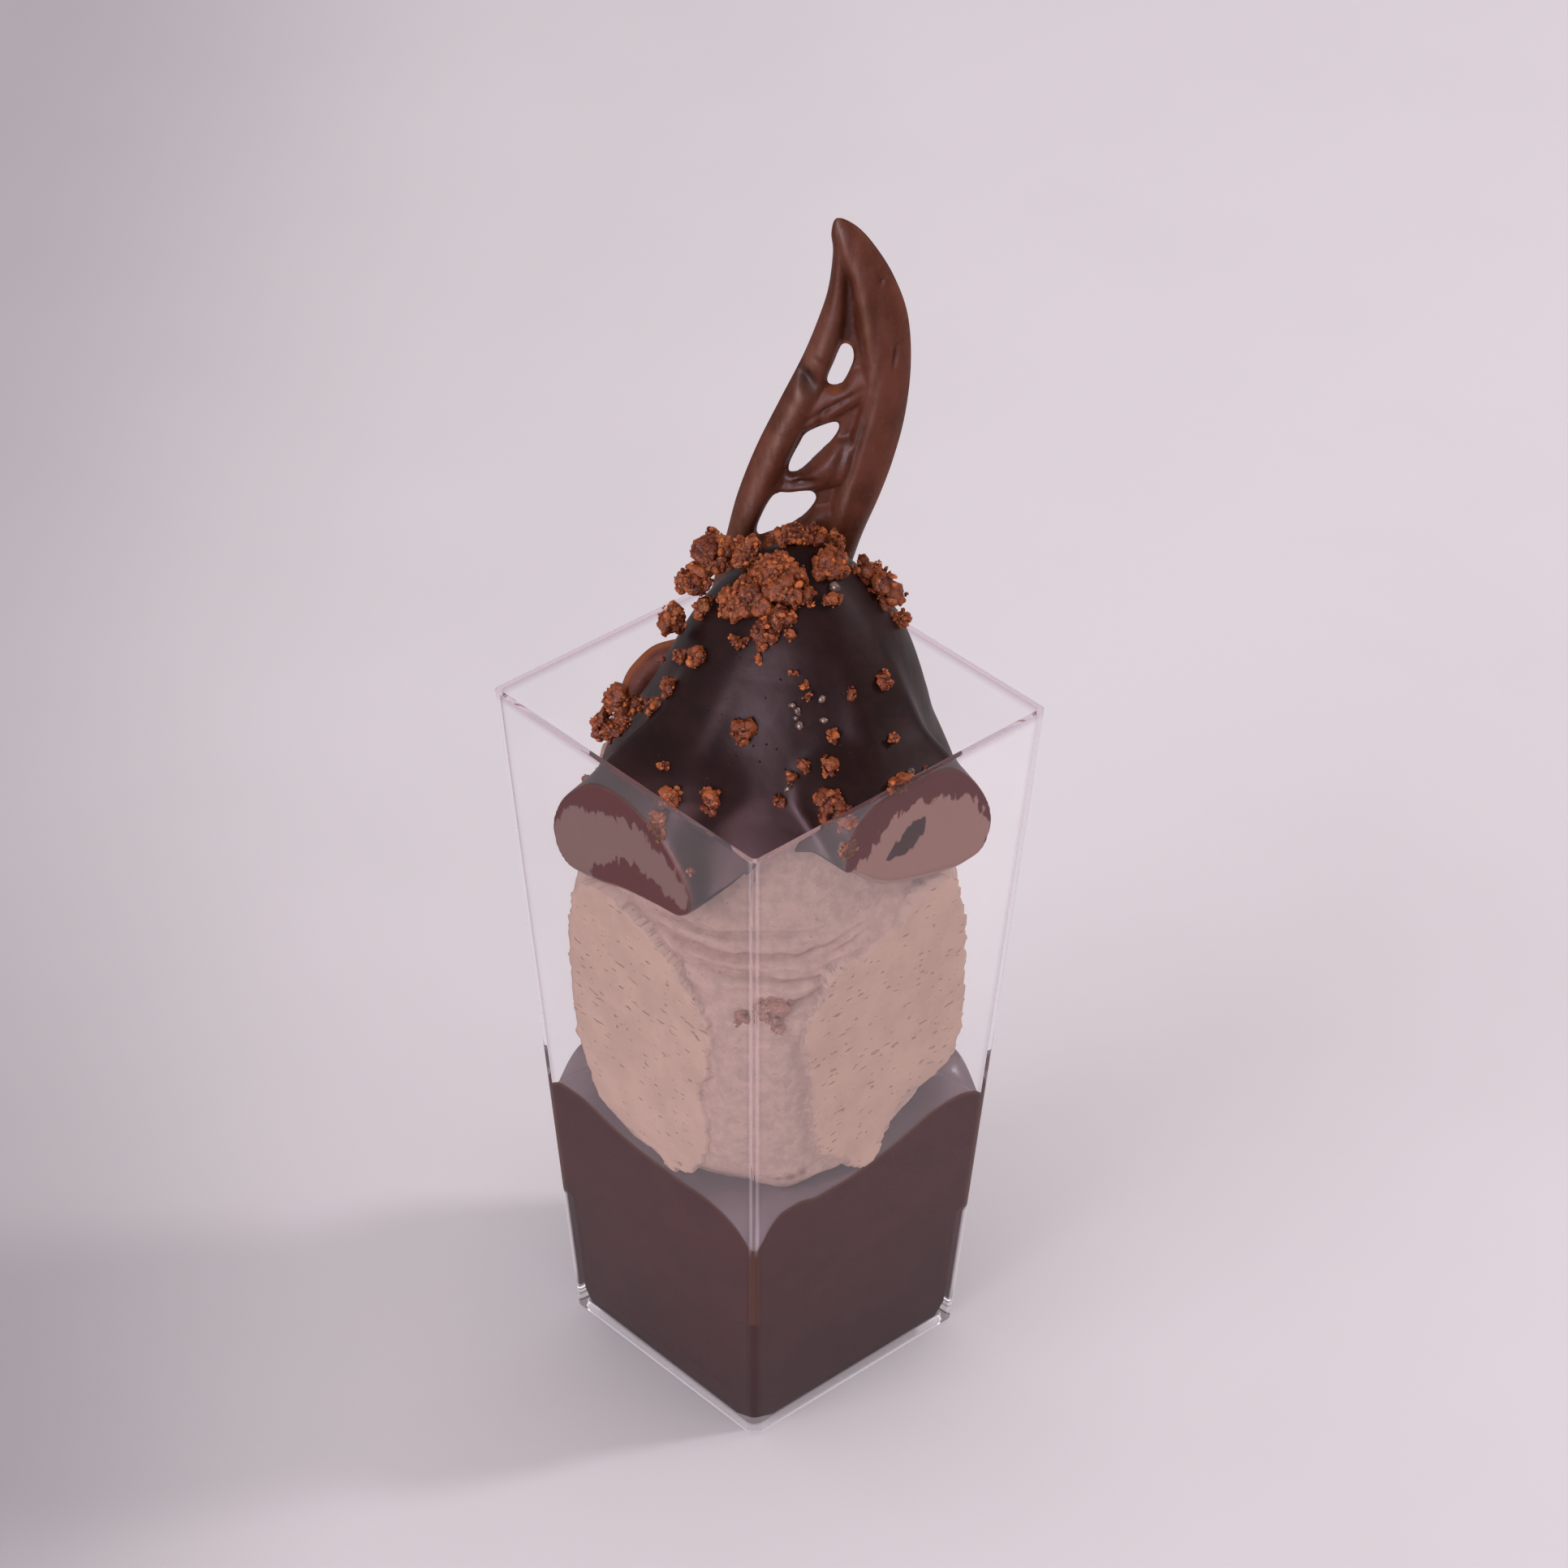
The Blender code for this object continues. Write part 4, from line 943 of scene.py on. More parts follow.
def patch_values(points):
    """On the lobes' contact patches: distance inside the outline, the pale area and the spot, and
    which of the two walls is nearer."""
    x, y, height = points[..., 0], points[..., 1], points[..., 2]
    half = inner_half(height)
    values = {label: np.full(x.shape, -6.0) for label in ("outline", "pale", "spot")}
    values["right"] = smooth_step(x + y, -3.0, 3.0)
    on_left = (half + y < 2.5) & (height > 68) & (height < 96)
    on_right = (half - x < 2.5) & (height > 68) & (height < 96)
    for on_wall, along, outline, pale, spot in ((on_left, x, LOBE_LEFT, PALE_LEFT, None),
                                                (on_right, y, LOBE_RIGHT, PALE_RIGHT, SPOT_RIGHT)):
        for label, knots in (("outline", outline), ("pale", pale), ("spot", spot)):
            if knots:
                found = inside_distance(knots, along[on_wall], height[on_wall])
                values[label][on_wall] = np.maximum(values[label][on_wall], found)
    return values


def glaze_material(chosen):
    """Dark glaze with a soft sheen: redder and partly paler where it is pressed on the plastic."""
    material, tree, shader = surface("dome_glaze", Roughness=chosen.gloss, Specular_IOR_Level=0.125,
                                     Specular_Tint=(1.0, 0.84, 0.86, 1.0))
    spot = place(tree)
    outline, pale, dark_spot, right = (point_value(tree, label)
                                       for label in ("outline", "pale", "spot", "right"))
    base = uneven(tree, spot, 3.0, rgb(chosen.glaze, 0.8), rgb(chosen.glaze, 1.3))
    ragged = (cloud(tree, place(tree, (1.0, 1.0, 0.4)), 0.95, 5.0) - 0.5) * 4.5
    pressed = remap(outline + ragged * 0.3, -0.1, 0.15)
    paler = blend(right, rgb(chosen.pale), rgb(chosen.bright))
    on_patch = blend(remap(pale + ragged, -0.1, 0.35), rgb(chosen.patch), paler)
    spotted = remap(dark_spot + ragged * 0.5, -0.25, 0.1, 0.0, 0.9)
    on_patch = blend(spotted, on_patch, rgb(chosen.glaze))
    colour = blend(pressed, base["Colour"], on_patch)
    rim = remap((outline + 0.1).of("ABSOLUTE"), 0.1, 0.4, 0.5, 0.0)
    blend(rim, colour, rgb(chosen.rim)).feeds(shader, "Base Color")
    bump(shader, grainy(tree, spot, 0.9, 1.7, 0.1, 0.25) * pressed.rest(), 0.08)
    return material


# ---------------------------------------------------------------- settings

def colour_property(name, description, default):
    """A colour setting."""
    return bpy.props.FloatVectorProperty(name=name, description=description, subtype="COLOR",
                                         size=3, min=0.0, max=1.0, default=default)


def number_property(name, description, default, low=0.0, high=1.0):
    """A plain number setting."""
    return bpy.props.FloatProperty(name=name, description=description, default=default, min=low,
                                   max=high)


def length_property(name, description, default):
    """A length setting in metres."""
    return bpy.props.FloatProperty(name=name, description=description, default=default, min=0.0,
                                   unit="LENGTH", subtype="DISTANCE", precision=5)


class CupSettings(bpy.types.PropertyGroup):
    """The clear cup."""
    wall: length_property("Wall", "Thickness of the clear walls", 0.0007)
    tint: colour_property("Tint", "Colour of the clear plastic", (1.0, 0.995, 0.998))
    # Edge tint is painted shade, darkening the plastic where it is seen edge on.
    edge: colour_property("Edge tint", "Colour where it is seen edge on", (0.72, 0.60, 0.66))
    # Glow is painted light: an emission that stands for light the plastic gathers.
    glow: colour_property("Glow", "Light gathered in the foot, ribs, edge and walls", (0.62, 0.56, 0.60))
    ior: number_property("IOR", "How strongly the plastic bends light", 1.31, 1.0, 2.0)


class LayerSettings(bpy.types.PropertyGroup):
    """The chocolate layer at the bottom."""
    dark: colour_property("Dark", "Darker chocolate cream", (0.047, 0.0058, 0.0060))
    light: colour_property("Light", "Paler chocolate cream", (0.059, 0.0086, 0.0086))
    rim: colour_property("Rim", "Thin warm line along its top edge", (0.085, 0.026, 0.012))
    # Top is a painted sheen: a paler colour for the light that the layer's top reflects.
    top: colour_property("Top", "Its top, dulled by the air", (0.155, 0.100, 0.112))


class MousseSettings(bpy.types.PropertyGroup):
    """The coffee mousse column."""
    patch: colour_property("Patch", "Mousse pressed on the plastic", (0.565, 0.388, 0.306))
    free: colour_property("Free", "Mousse away from the plastic", (0.530, 0.355, 0.288))
    shade: colour_property("Shade", "Mousse in its folds and pits", (0.30, 0.16, 0.13))


class DomeSettings(bpy.types.PropertyGroup):
    """The dark glazed dome."""
    glaze: colour_property("Glaze", "Dark glaze", (0.0150, 0.0048, 0.0038))
    patch: colour_property("Patch", "Glaze pressed on the plastic", (0.088, 0.0100, 0.0090))
    pale: colour_property("Pale", "Paler area of the left pressed patch", (0.205, 0.116, 0.098))
    bright: colour_property("Bright", "Paler area of the right pressed patch", (0.315, 0.172, 0.142))
    rim: colour_property("Rim", "Warm edge round a pressed patch", (0.120, 0.034, 0.016))
    gloss: number_property("Roughness", "Roughness of the glaze", 0.46)


class LeafSettings(bpy.types.PropertyGroup):
    """The chocolate leaf."""
    dark: colour_property("Dark", "Darker chocolate", (0.080, 0.0200, 0.0080))
    light: colour_property("Light", "Lighter chocolate", (0.135, 0.037, 0.0185))
    # Scuff colour: for scuffs, and for a painted highlight on the limb's crest and the stem's lit side.
    scuff_and_highlight: colour_property("Scuff and highlight", "Chocolate rubbed paler", (0.240, 0.112, 0.072))
    # Edge colour is a painted glow for light through the leaf's thin edge.
    edge: colour_property("Edge", "Thin edge that glows orange-brown", (0.26, 0.075, 0.025))
    grid: length_property("Grid", "Fineness of the leaf's skin", 0.00024)


class CrumbSettings(bpy.types.PropertyGroup):
    """The crumbs and sugar grains."""
    dark: colour_property("Dark", "Darker crumb", (0.095, 0.0135, 0.0045))
    light: colour_property("Light", "Lighter crumb", (0.64, 0.185, 0.050))
    soaked: colour_property("Soaked", "Crumb on the mousse", (0.290, 0.130, 0.090))
    seed: bpy.props.IntProperty(name="Seed", description="Picks how the crumbs lie", default=7)


class StageSettings(bpy.types.PropertyGroup):
    """The floor and the light."""
    floor: colour_property("Floor", "Pale floor", (0.80, 0.80, 0.80))
    sky: number_property("Sky", "Brightness all round", 0.62, 0.0, 5.0)
    key: number_property("Key", "Power of the key light in watts", 2.4, 0.0, 500.0)
    key_rise: bpy.props.FloatProperty(name="Key rise", description="Height angle of the key light",
                                      default=math.radians(36), subtype="ANGLE", unit="ROTATION")


# ---------------------------------------------------------------- operators

def settings(context, name):
    """The settings group of a piece."""
    return getattr(context.scene, "mousse_" + name)


def with_poles(values, low, high):
    """Point values of a capped grid: those of its rings and of its two poles."""
    return np.append(values.ravel(), (low, high))


class MOUSSE_OT_cup(bpy.types.Operator):
    """Build the clear cup: rounded squares from the foot up the outside and down the inside"""
    bl_idname = "mousse.cup"
    bl_label = "Clear cup"

    def execute(self, context):
        chosen = settings(context, "cup")
        rings = cup_rings(chosen.wall / MM)
        edge, glow = cup_values(rings)
        piece = make_piece("clear_cup", *capped_grid(rings, (0.0, 0.0, 1.0), (0.0, 0.0, FLOOR_TOP)),
                           clear_plastic(chosen),
                           {"edge": with_poles(edge, 0.0, 0.0), "glow": with_poles(glow, MIDDLE_GLOW, 0.0)})
        piece.data.set_sharp_from_angle(angle=math.radians(20))
        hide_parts("cup")
        return {"FINISHED"}


class MOUSSE_OT_layer(bpy.types.Operator):
    """Build the chocolate layer: up the walls to its top line, then inwards over its top"""
    bl_idname = "mousse.layer"
    bl_label = "Chocolate layer"

    def execute(self, context):
        grid, below, corner, top = layer_grid()
        low, high = (0.0, 0.0, FLOOR_TOP - REACH), (0.0, 0.0, float(layer_level(0.0, 0.0)) - 0.3)
        piece = make_piece("layer_cream", *capped_grid(grid, low, high),
                           layer_material(settings(context, "layer")),
                           {"below": with_poles(below, 30, 0), "corner": with_poles(corner, 20, 20),
                            "top": with_poles(top, 0, 1)})
        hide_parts("chocolate_layer")
        return {"FINISHED"}


class MOUSSE_OT_column(bpy.types.Operator):
    """Build the mousse column: a wandering radius round the axis, cut off by the four walls"""
    bl_idname = "mousse.column"
    bl_label = "Mousse column"

    def execute(self, context):
        points, contact, fold = mousse_grid()
        low, high = (0.0, 0.0, MOUSSE_LOW), (*mousse_centre(MOUSSE_HIGH), MOUSSE_HIGH)
        piece = make_piece("mousse_body", *capped_grid(points, low, high),
                           mousse_material(settings(context, "column")),
                           {"contact": with_poles(contact, -9.0, -9.0), "fold": with_poles(fold, 0.0, 0.0)})
        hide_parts("coffee_mousse")
        return {"FINISHED"}


class MOUSSE_OT_dome(bpy.types.Operator):
    """Build the glazed dome: radii from its lip to its apex, two lobes pressed on the walls"""
    bl_idname = "mousse.dome"
    bl_label = "Glazed dome"

    def execute(self, context):
        points = dome_grid()
        apex = (*dome_centre(DOME_APEX), DOME_APEX)
        piece = make_piece("dome_glaze", *capped_grid(points, (0.0, 0.0, DOME_UNDER + 0.5), apex),
                           glaze_material(settings(context, "dome")),
                           {label: with_poles(found, -9.0, -9.0)
                            for label, found in patch_values(points).items()})
        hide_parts("chocolate_dome")
        return {"FINISHED"}


# ---------------------------------------------------------------- the leaf

def route_distance(route, across, up):
    """Distance, in the leaf's plane, from points to a smooth route (less than 0 on its left as it
    runs down), and the route's half width."""
    knots = np.array(route, float)
    at = np.linspace(0, len(knots) - 1, (len(knots) - 1) * 6 + 1)
    index = np.arange(len(knots))
    line = np.stack([through(np.stack([index, knots[:, k]], axis=1), at) for k in (0, 1, 2)], axis=1)
    start, side = line[None, :-1, :2], np.diff(line[:, :2], axis=0)[None]
    spot = np.stack([across, up], axis=1)[:, None]
    share = np.clip(((spot - start) * side).sum(-1) / (side * side).sum(-1), 0.0, 1.0)
    distance = np.linalg.norm(spot - start - side * share[..., None], axis=-1)
    nearest = distance.argmin(axis=1)
    rows = np.arange(len(across))
    portion = share[rows, nearest]
    width = line[nearest, 2] * (1.0 - portion) + line[nearest + 1, 2] * portion
    run = side[0, nearest]
    aside = (across - line[nearest, 0]) * run[:, 1] - (up - line[nearest, 1]) * run[:, 0]
    return distance[rows, nearest] * np.where(aside > 0, -1.0, 1.0), width


def inside_leaf(across, up):
    """Signed distance to the leaf's edge: inside its outline and outside its three windows."""
    distance = inside_distance(LEAF_OUTLINE, across, up)
    for window in LEAF_WINDOWS:
        distance = np.minimum(distance, -inside_distance(window, across, up))
    return distance


def in_batches(function, across, up, size=20000):
    """Work a function out over many points, a batch at a time, to spare memory."""
    starts = range(0, len(across), size)
    return np.concatenate([function(across[k:k + size], up[k:k + size]) for k in starts])


def trimmed_net(step):
    """Points and faces that fill the leaf's outline: one face round each grid node inside it.

    The points are cell centres; in a cell that the outline crosses, the point moves on to the
    outline along the distance's slope.
    """
    low, high = np.array(LEAF_OUTLINE).min(axis=0) - 1.0, np.array(LEAF_OUTLINE).max(axis=0) + 1.0
    columns, rows = np.ceil((high - low) / step).astype(int)
    node_u, node_z = np.meshgrid(low[0] + np.arange(columns) * step, low[1] + np.arange(rows) * step,
                                 indexing="ij")
    inside = in_batches(inside_leaf, node_u.ravel(), node_z.ravel()).reshape(node_u.shape) > 0
    count = sum(inside[i:columns - 1 + i, j:rows - 1 + j].astype(int) for i in (0, 1) for j in (0, 1))
    used = count > 0
    number = np.full(used.shape, -1)
    number[used] = np.arange(used.sum())
    u = (node_u[:-1, :-1] + step / 2)[used]
    z = (node_z[:-1, :-1] + step / 2)[used]
    edge = (count < 4)[used]
    for _ in range(3):
        here = in_batches(inside_leaf, u[edge], z[edge])
        slope_u = (in_batches(inside_leaf, u[edge] + 0.02, z[edge]) - here) / 0.02
        slope_z = (in_batches(inside_leaf, u[edge], z[edge] + 0.02) - here) / 0.02
        size = np.maximum(slope_u ** 2 + slope_z ** 2, 0.25)
        u[edge] -= here * slope_u / size
        z[edge] -= here * slope_z / size
    i, j = np.nonzero(inside[1:-1, 1:-1])
    quads = np.stack([number[i, j], number[i + 1, j], number[i + 1, j + 1], number[i, j + 1]], axis=1)
    quads = quads[~edge[quads].all(axis=1)]
    kept, quads = np.unique(quads, return_inverse=True)
    return u[kept], z[kept], edge[kept], quads.reshape(-1, 4)


def oval(u, z, centre, size, lean=0.0):
    """A soft oval mask: centre, half sizes and lean in degrees."""
    cos, sin = math.cos(math.radians(lean)), math.sin(math.radians(lean))
    across, up = u - centre[0], z - centre[1]
    return np.exp(-((across * cos + up * sin) / size[0]) ** 2
                  - ((up * cos - across * sin) / size[1]) ** 2)


def leaf_relief(u, z):
    """Half thickness of the leaf: half-round limbs blended, rounded off at every edge, and dented."""
    depth = in_batches(inside_leaf, u, z)
    relief = np.full(len(u), 0.25)
    for route, full in LEAF_LIMBS:
        distance, width = route_distance(route, u, z)
        if route is LIMB:
            crest = -0.5 * width
            half = np.where(distance < crest, width + crest, width - crest)
            roof = 1.0 - np.abs((distance - crest) / half) ** 1.35
            height = LEAF_FLATNESS * width * np.sqrt(np.maximum(roof, 0.0))
        else:
            height = np.sqrt(np.maximum(width ** 2 - distance ** 2, 0.0))
        relief = smooth_maximum(relief, height * full, 9.0)
    for spot, size, deep, lean in LEAF_DENTS:
        relief = relief - deep * oval(u, z, spot, size, lean)
    relief = relief + 0.10 * noise(np.stack([u / 5.0, z / 9.0, 0 * u], axis=1), 51)
    relief = relief + 0.025 * noise(np.stack([u / 1.3, z / 1.8, 0 * u], axis=1), 52)
    near = np.clip(depth / 1.0, 0.0, 1.0)
    return np.maximum(relief, 0.18) * np.sqrt(1.0 - (1.0 - near) ** 2)


def leaf_scuffs_and_highlights(u, z):
    """Where the leaf is painted paler: a painted highlight along the limb's crest and down the stem's
    lit left side, broken up, over scattered scuffs and specks.
    """
    limb, wide = route_distance(LIMB, u, z)
    stem, slim = route_distance(STEM, u, z)
    torn = 0.5 + 0.5 * layered_noise(np.stack([u / 0.7, z / 2.6, 0 * u], axis=1), 3, 55)
    on_limb = np.exp(-((limb + 0.5 * wide) / 0.42) ** 2) * smooth_step(z, 92, 100)
    on_stem = np.exp(-((stem + 0.35 * slim) / 0.75) ** 2) * smooth_step(140.0 - z, 0, 8) * 0.85
    speck = 0.5 * smooth_step(noise(np.stack([u / 0.35, z / 0.5, 0 * u], axis=1), 57), 0.45, 0.75)
    return np.clip((on_limb * 0.8 + on_stem) * np.clip(torn, 0.1, 1.0) + speck * 0.35, 0.0, 1.0)


def leaf_mesh(step):
    """The leaf's points and faces, and where it takes a painted glow at its thin edge, scuffs and
    painted highlights, and painted shade in its dents.

    The front swells out by the relief and the back by a share of it; both meet in the edge's points.
    """
    u, z, edge, quads = trimmed_net(step)
    swell = leaf_relief(u, z)
    swell[edge] = 0.0
    inner = ~edge
    back_number = np.arange(len(u))
    back_number[inner] = len(u) + np.arange(inner.sum())
    all_u, all_z = np.append(u, u[inner]), np.append(z, z[inner])
    depth = np.append(-swell, swell[inner] * LEAF_BACK) + LEAF_DEPTH
    across, away = on_diagonals(all_u, depth)
    vertices = np.stack([across, away, np.minimum(all_z, LEAF_TOP)], axis=1)
    faces = np.concatenate([quads, back_number[quads][:, ::-1]])
    inside = in_batches(inside_leaf, all_u, all_z)
    rim = 1.0 - smooth_step(inside, 0.2, 0.7)
    # Painted glow along the curl's thin edge.
    glow = rim * smooth_step(-all_u, 8.0, 12.0) * smooth_step(all_z - all_u, 98, 104)
    for spot in LEAF_GLOWS:
        glow = np.maximum(glow, 1.2 * rim * oval(all_u, all_z, spot, (0.8, 0.55)))
    # Painted shade in the dents.
    shade = sum(deep * oval(all_u, all_z, spot, size, lean) for spot, size, deep, lean in LEAF_DENTS)
    return vertices, faces, {"glow": glow, "scuff_and_highlight": leaf_scuffs_and_highlights(all_u, all_z), "shade": shade}


def leaf_material(chosen):
    """Milk chocolate: paler with scuffs and painted highlights, painted shade in its dents, and a painted
    orange-brown glow at a thin edge.
    """
    material, tree, shader = surface("leaf_chocolate", Specular_IOR_Level=0.15)
    tone = uneven(tree, place(tree, (1.0, 1.0, 0.6)), 4.0, rgb(chosen.dark), rgb(chosen.light))
    # Paler for scuffs and for painted highlights.
    colour = blend(point_value(tree, "scuff_and_highlight"), tone["Colour"], rgb(chosen.scuff_and_highlight))
    # Painted shade darkens the dents.
    shaded = point_value(tree, "shade").of("MULTIPLY", 0.65, clamp=True)
    colour = blend(shaded, colour, rgb(chosen.dark, 0.35))
    # Painted glow at the thin edge.
    blend(point_value(tree, "glow"), colour, rgb(chosen.edge)).feeds(shader, "Base Color")
    remap(tone["Field"], 0.0, 1.0, 0.44, 0.58).feeds(shader, "Roughness")
    bump(shader, grainy(tree, place(tree), 0.7, 4.0, 0.07, 0.6), 0.11)
    return material


class MOUSSE_OT_leaf(bpy.types.Operator):
    """Build the chocolate leaf: a trimmed sheet whose two faces swell into half-round limbs"""
    bl_idname = "mousse.leaf"
    bl_label = "Chocolate leaf"

    def execute(self, context):
        chosen = settings(context, "leaf")
        vertices, faces, values = leaf_mesh(chosen.grid / MM)
        piece = make_piece("leaf_chocolate", vertices, faces, np.zeros((0, 3), int),
                           leaf_material(chosen), values)
        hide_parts("chocolate_leaf")
        return {"FINISHED"}


# ---------------------------------------------------------------- crumbs

NUGGET_NET, GRAIN_NET = (8, 11), (3, 6)       # rings and columns of a lump's and a grain's skin
FACETS = 11                     # planes that cut each lump


def unit_ball(rows, columns):
    """Directions over a ball: (rings from low to high, the low pole, the high pole)."""
    rise = (np.arange(rows)[:, None] + 1.0) * math.pi / (rows + 1) - math.pi / 2
    turn = np.arange(columns)[None, :] * 2 * math.pi / columns
    ring = np.stack([np.cos(rise) * np.cos(turn), np.cos(rise) * np.sin(turn),
                     np.sin(rise) + 0.0 * turn], axis=-1)
    return capped_grid(ring, (0.0, 0.0, -1.0), (0.0, 0.0, 1.0))


def outward(angle, height, radius_of, centre_of):
    """A point on a body of radii and its outward direction, by small steps round and up."""
    def spot(a, z):
        x, y = centre_of(z)
        radius = radius_of(a, z)
        return np.stack([x + radius * np.cos(a), y + radius * np.sin(a), z], axis=-1)
    here = spot(angle, height)
    round_step = spot(angle + 0.01, height) - here
    up_step = here - spot(angle, height - 0.2)
    normal = np.cross(round_step, up_step)
    return here, normal / np.linalg.norm(normal, axis=-1, keepdims=True)


def on_body(rows, radius_of, centre_of):
    """Places, outward directions and sizes of what sits on a body by (angle, height, width, tallness)."""
    table = np.array([row if len(row) == 4 else (*row, row[2]) for row in rows], float)
    angle = np.radians(table[:, 0]) + FRONT
    here, normal = outward(angle, table[:, 1], radius_of, centre_of)
    return here, normal, table[:, 2], table[:, 3]


def frames(normal):
    """Across, outward and upward axes for each outward direction."""
    across = np.cross(np.array([0.0, 0.0, 1.0]), normal)
    across /= np.maximum(np.linalg.norm(across, axis=-1, keepdims=True), 1e-9)
    up = np.cross(normal, across)
    return np.stack([across, normal, up], axis=-2)


def lumps(here, normal, width, tall, rng):
    """Break each crumb into a few lumps strewn over its outline: centres, directions and sizes."""
    spots, outs, sizes = [], [], []
    for spot, out, wide, high in zip(here, normal, width, tall):
        small = min(wide, high)
        count = int(np.clip(round(wide * high / 1.05), 1, 20))
        turn, reach = rng.uniform(0, 2 * math.pi, count), np.sqrt(rng.uniform(0, 1, count))
        half = rng.uniform(0.0, 1.0, count) ** 1.5 * 0.26 * small + 0.10 * small + 0.18
        half = np.clip(half, 0.2, 1.1)
        if count == 1:
            reach, half = np.zeros(1), np.array([small / 2])
        local = np.stack([np.cos(turn) * reach * np.maximum(wide / 2 - half * 0.7, 0.0),
                          rng.uniform(-0.12, 0.30, count) * small * (1.1 - reach),
                          np.sin(turn) * reach * np.maximum(high / 2 - half * 0.7, 0.0)], axis=1)
        spots.append(spot + local @ frames(out[None])[0])
        outs.append(np.repeat(out[None], count, axis=0))
        sizes.append(half)
    return np.concatenate(spots), np.concatenate(outs), np.concatenate(sizes)


def nuggets(spots, outs, half, rng):
    """The body of each lump: each direction runs to the nearest of random planes, then is stirred."""
    ball, quads, triangles = unit_ball(*NUGGET_NET)
    count = len(spots)
    planes = rng.normal(size=(count, FACETS, 3))
    planes /= np.linalg.norm(planes, axis=2, keepdims=True)
    far = rng.uniform(0.55, 1.0, (count, 1, FACETS))
    facing = np.maximum(np.einsum("vi,nki->nvk", ball, planes), 0.05)
    reach = np.minimum((far / facing).min(axis=2), 1.35)
    shift = rng.uniform(-50, 50, (count, 1, 3))
    spot = ball[None] * half[:, None, None] + shift
    lump = 0.24 * noise(spot / 0.55, 62) + 0.17 * noise(spot / 0.26, 63)
    stretch = rng.uniform(0.75, 1.3, (count, 1, 3))
    local = ball[None] * (reach + lump)[..., None] * stretch * half[:, None, None]
    points = spots[:, None] + np.einsum("nvi,nij->nvj", local, frames(outs))
    # Painted light and shade: tips lighter and hollows darker, with a random tone per lump.
    tone = 0.05 + 0.42 * (reach - 0.6) + 1.1 * lump + rng.uniform(-0.15, 0.22, (count, 1))
    steps = np.arange(count)[:, None, None] * len(ball)
    return points, quads + steps, triangles + steps, tone


def grains(centres, sizes, rng):
    """Small rough grains: a ball of a few dozen faces, stretched, with each corner moved at random."""
    ball, quads, triangles = unit_ball(*GRAIN_NET)
    count = len(centres)
    axes = rng.normal(size=(count, 3, 3))
    axes, _ = np.linalg.qr(axes)
    stretch = rng.uniform(0.6, 1.3, (count, 1, 3))
    stir = 1.0 + rng.uniform(-0.30, 0.30, (count, len(ball), 1))
    local = ball[None] * stir * stretch * sizes[:, None, None] / 2
    points = centres[:, None] + np.einsum("nvi,nij->nvj", local, axes)
    steps = np.arange(count)[:, None, None] * len(ball)
    tone = np.broadcast_to(rng.uniform(0.1, 1.0, (count, 1)) ** 1.3, (count, len(ball)))
    return points, quads + steps, triangles + steps, tone


def grains_on(spots, outs, half, rng):
    """Where grains sit on each lump, spread over its outer side, and how large they are."""
    centres, sizes = [], []
    for spot, out, size in zip(spots, outs, half):
        count = max(2, int(15.0 * size ** 1.6))
        direction = rng.normal(size=(count, 3))
        direction[:, 1] = np.abs(direction[:, 1]) - 0.35
        direction /= np.linalg.norm(direction, axis=1, keepdims=True)
        local = direction * size * rng.uniform(0.80, 1.16, (count, 1))
        centres.append(spot + local @ frames(out[None])[0])
        sizes.append(rng.uniform(0.1, 1.0, count) ** 2.2 * min(0.80, 0.85 * size) + 0.18)
    return np.concatenate(centres), np.concatenate(sizes)


def flat_arrays(*made):
    """Join batches of points, faces and tones into single arrays."""
    offset, vertices, quads, triangles, tones = 0, [], [], [], []
    for points, four, three, tone in made:
        vertices.append(points.reshape(-1, 3))
        quads.append(four.reshape(-1, 4) + offset)
        triangles.append(three.reshape(-1, 3) + offset)
        tones.append(np.ravel(tone))
        offset += len(vertices[-1])
    return tuple(np.concatenate(part) for part in (vertices, quads, triangles, tones))


def keep_in_cup(points):
    """Hold what lies below the rim inside the walls, and what lies above it over the cup."""
    half = np.where(points[..., 2] < CUP_HEIGHT + 0.3, inner_half(points[..., 2]) + REACH,
                    CUP_TOP_HALF - 0.1)
    points[..., 0] = np.clip(points[..., 0], -half, half)
    points[..., 1] = np.clip(points[..., 1], -half, half)
    return points


def crumb_material(name, dark, light):
    """Baked crumb: orange-brown grains that let light in, each a little lighter or darker, with painted
    highlights on the lumps' tips and painted shade in their hollows.
    """
    material, tree, shader = surface(name, Roughness=0.42, Specular_IOR_Level=0.2,
                                     Subsurface_Weight=0.4, Subsurface_Scale=0.0007,
                                     Subsurface_Radius=(1.0, 0.35, 0.15))
    spot = place(tree)
    fine = cloud(tree, spot, 1.7, 5.0, 0.7)
    share = point_value(tree, "tone").of("ADD", (fine - 0.5) * 1.1, clamp=True)
    blend(share, rgb(dark), rgb(light)).feeds(shader, "Base Color")
    cells = field(tree, "ShaderNodeTexVoronoi", "Distance", {"Vector": spot, "Scale": 2.3})
    bump(shader, fine - cells, 0.17)
    return material


def rim_crumbs():
    """Places, outward directions and sizes of the crumbs at the dome's outline and behind it."""
    rim = np.array(RIM_CRUMBS, float)
    here = np.stack([*on_diagonals(rim[:, 0], rim[:, 1]), rim[:, 2]], axis=1)
    middle = np.stack([*on_diagonals(2.0, DOME_DEPTH), 92.0], axis=-1)
    normal = (here - middle) / np.linalg.norm(here - middle, axis=1, keepdims=True)
    normal = normal * 0.4 + np.array((TURN, -TURN, 0.45))
    return here, normal / np.linalg.norm(normal, axis=1, keepdims=True), rim[:, 3], rim[:, 4]


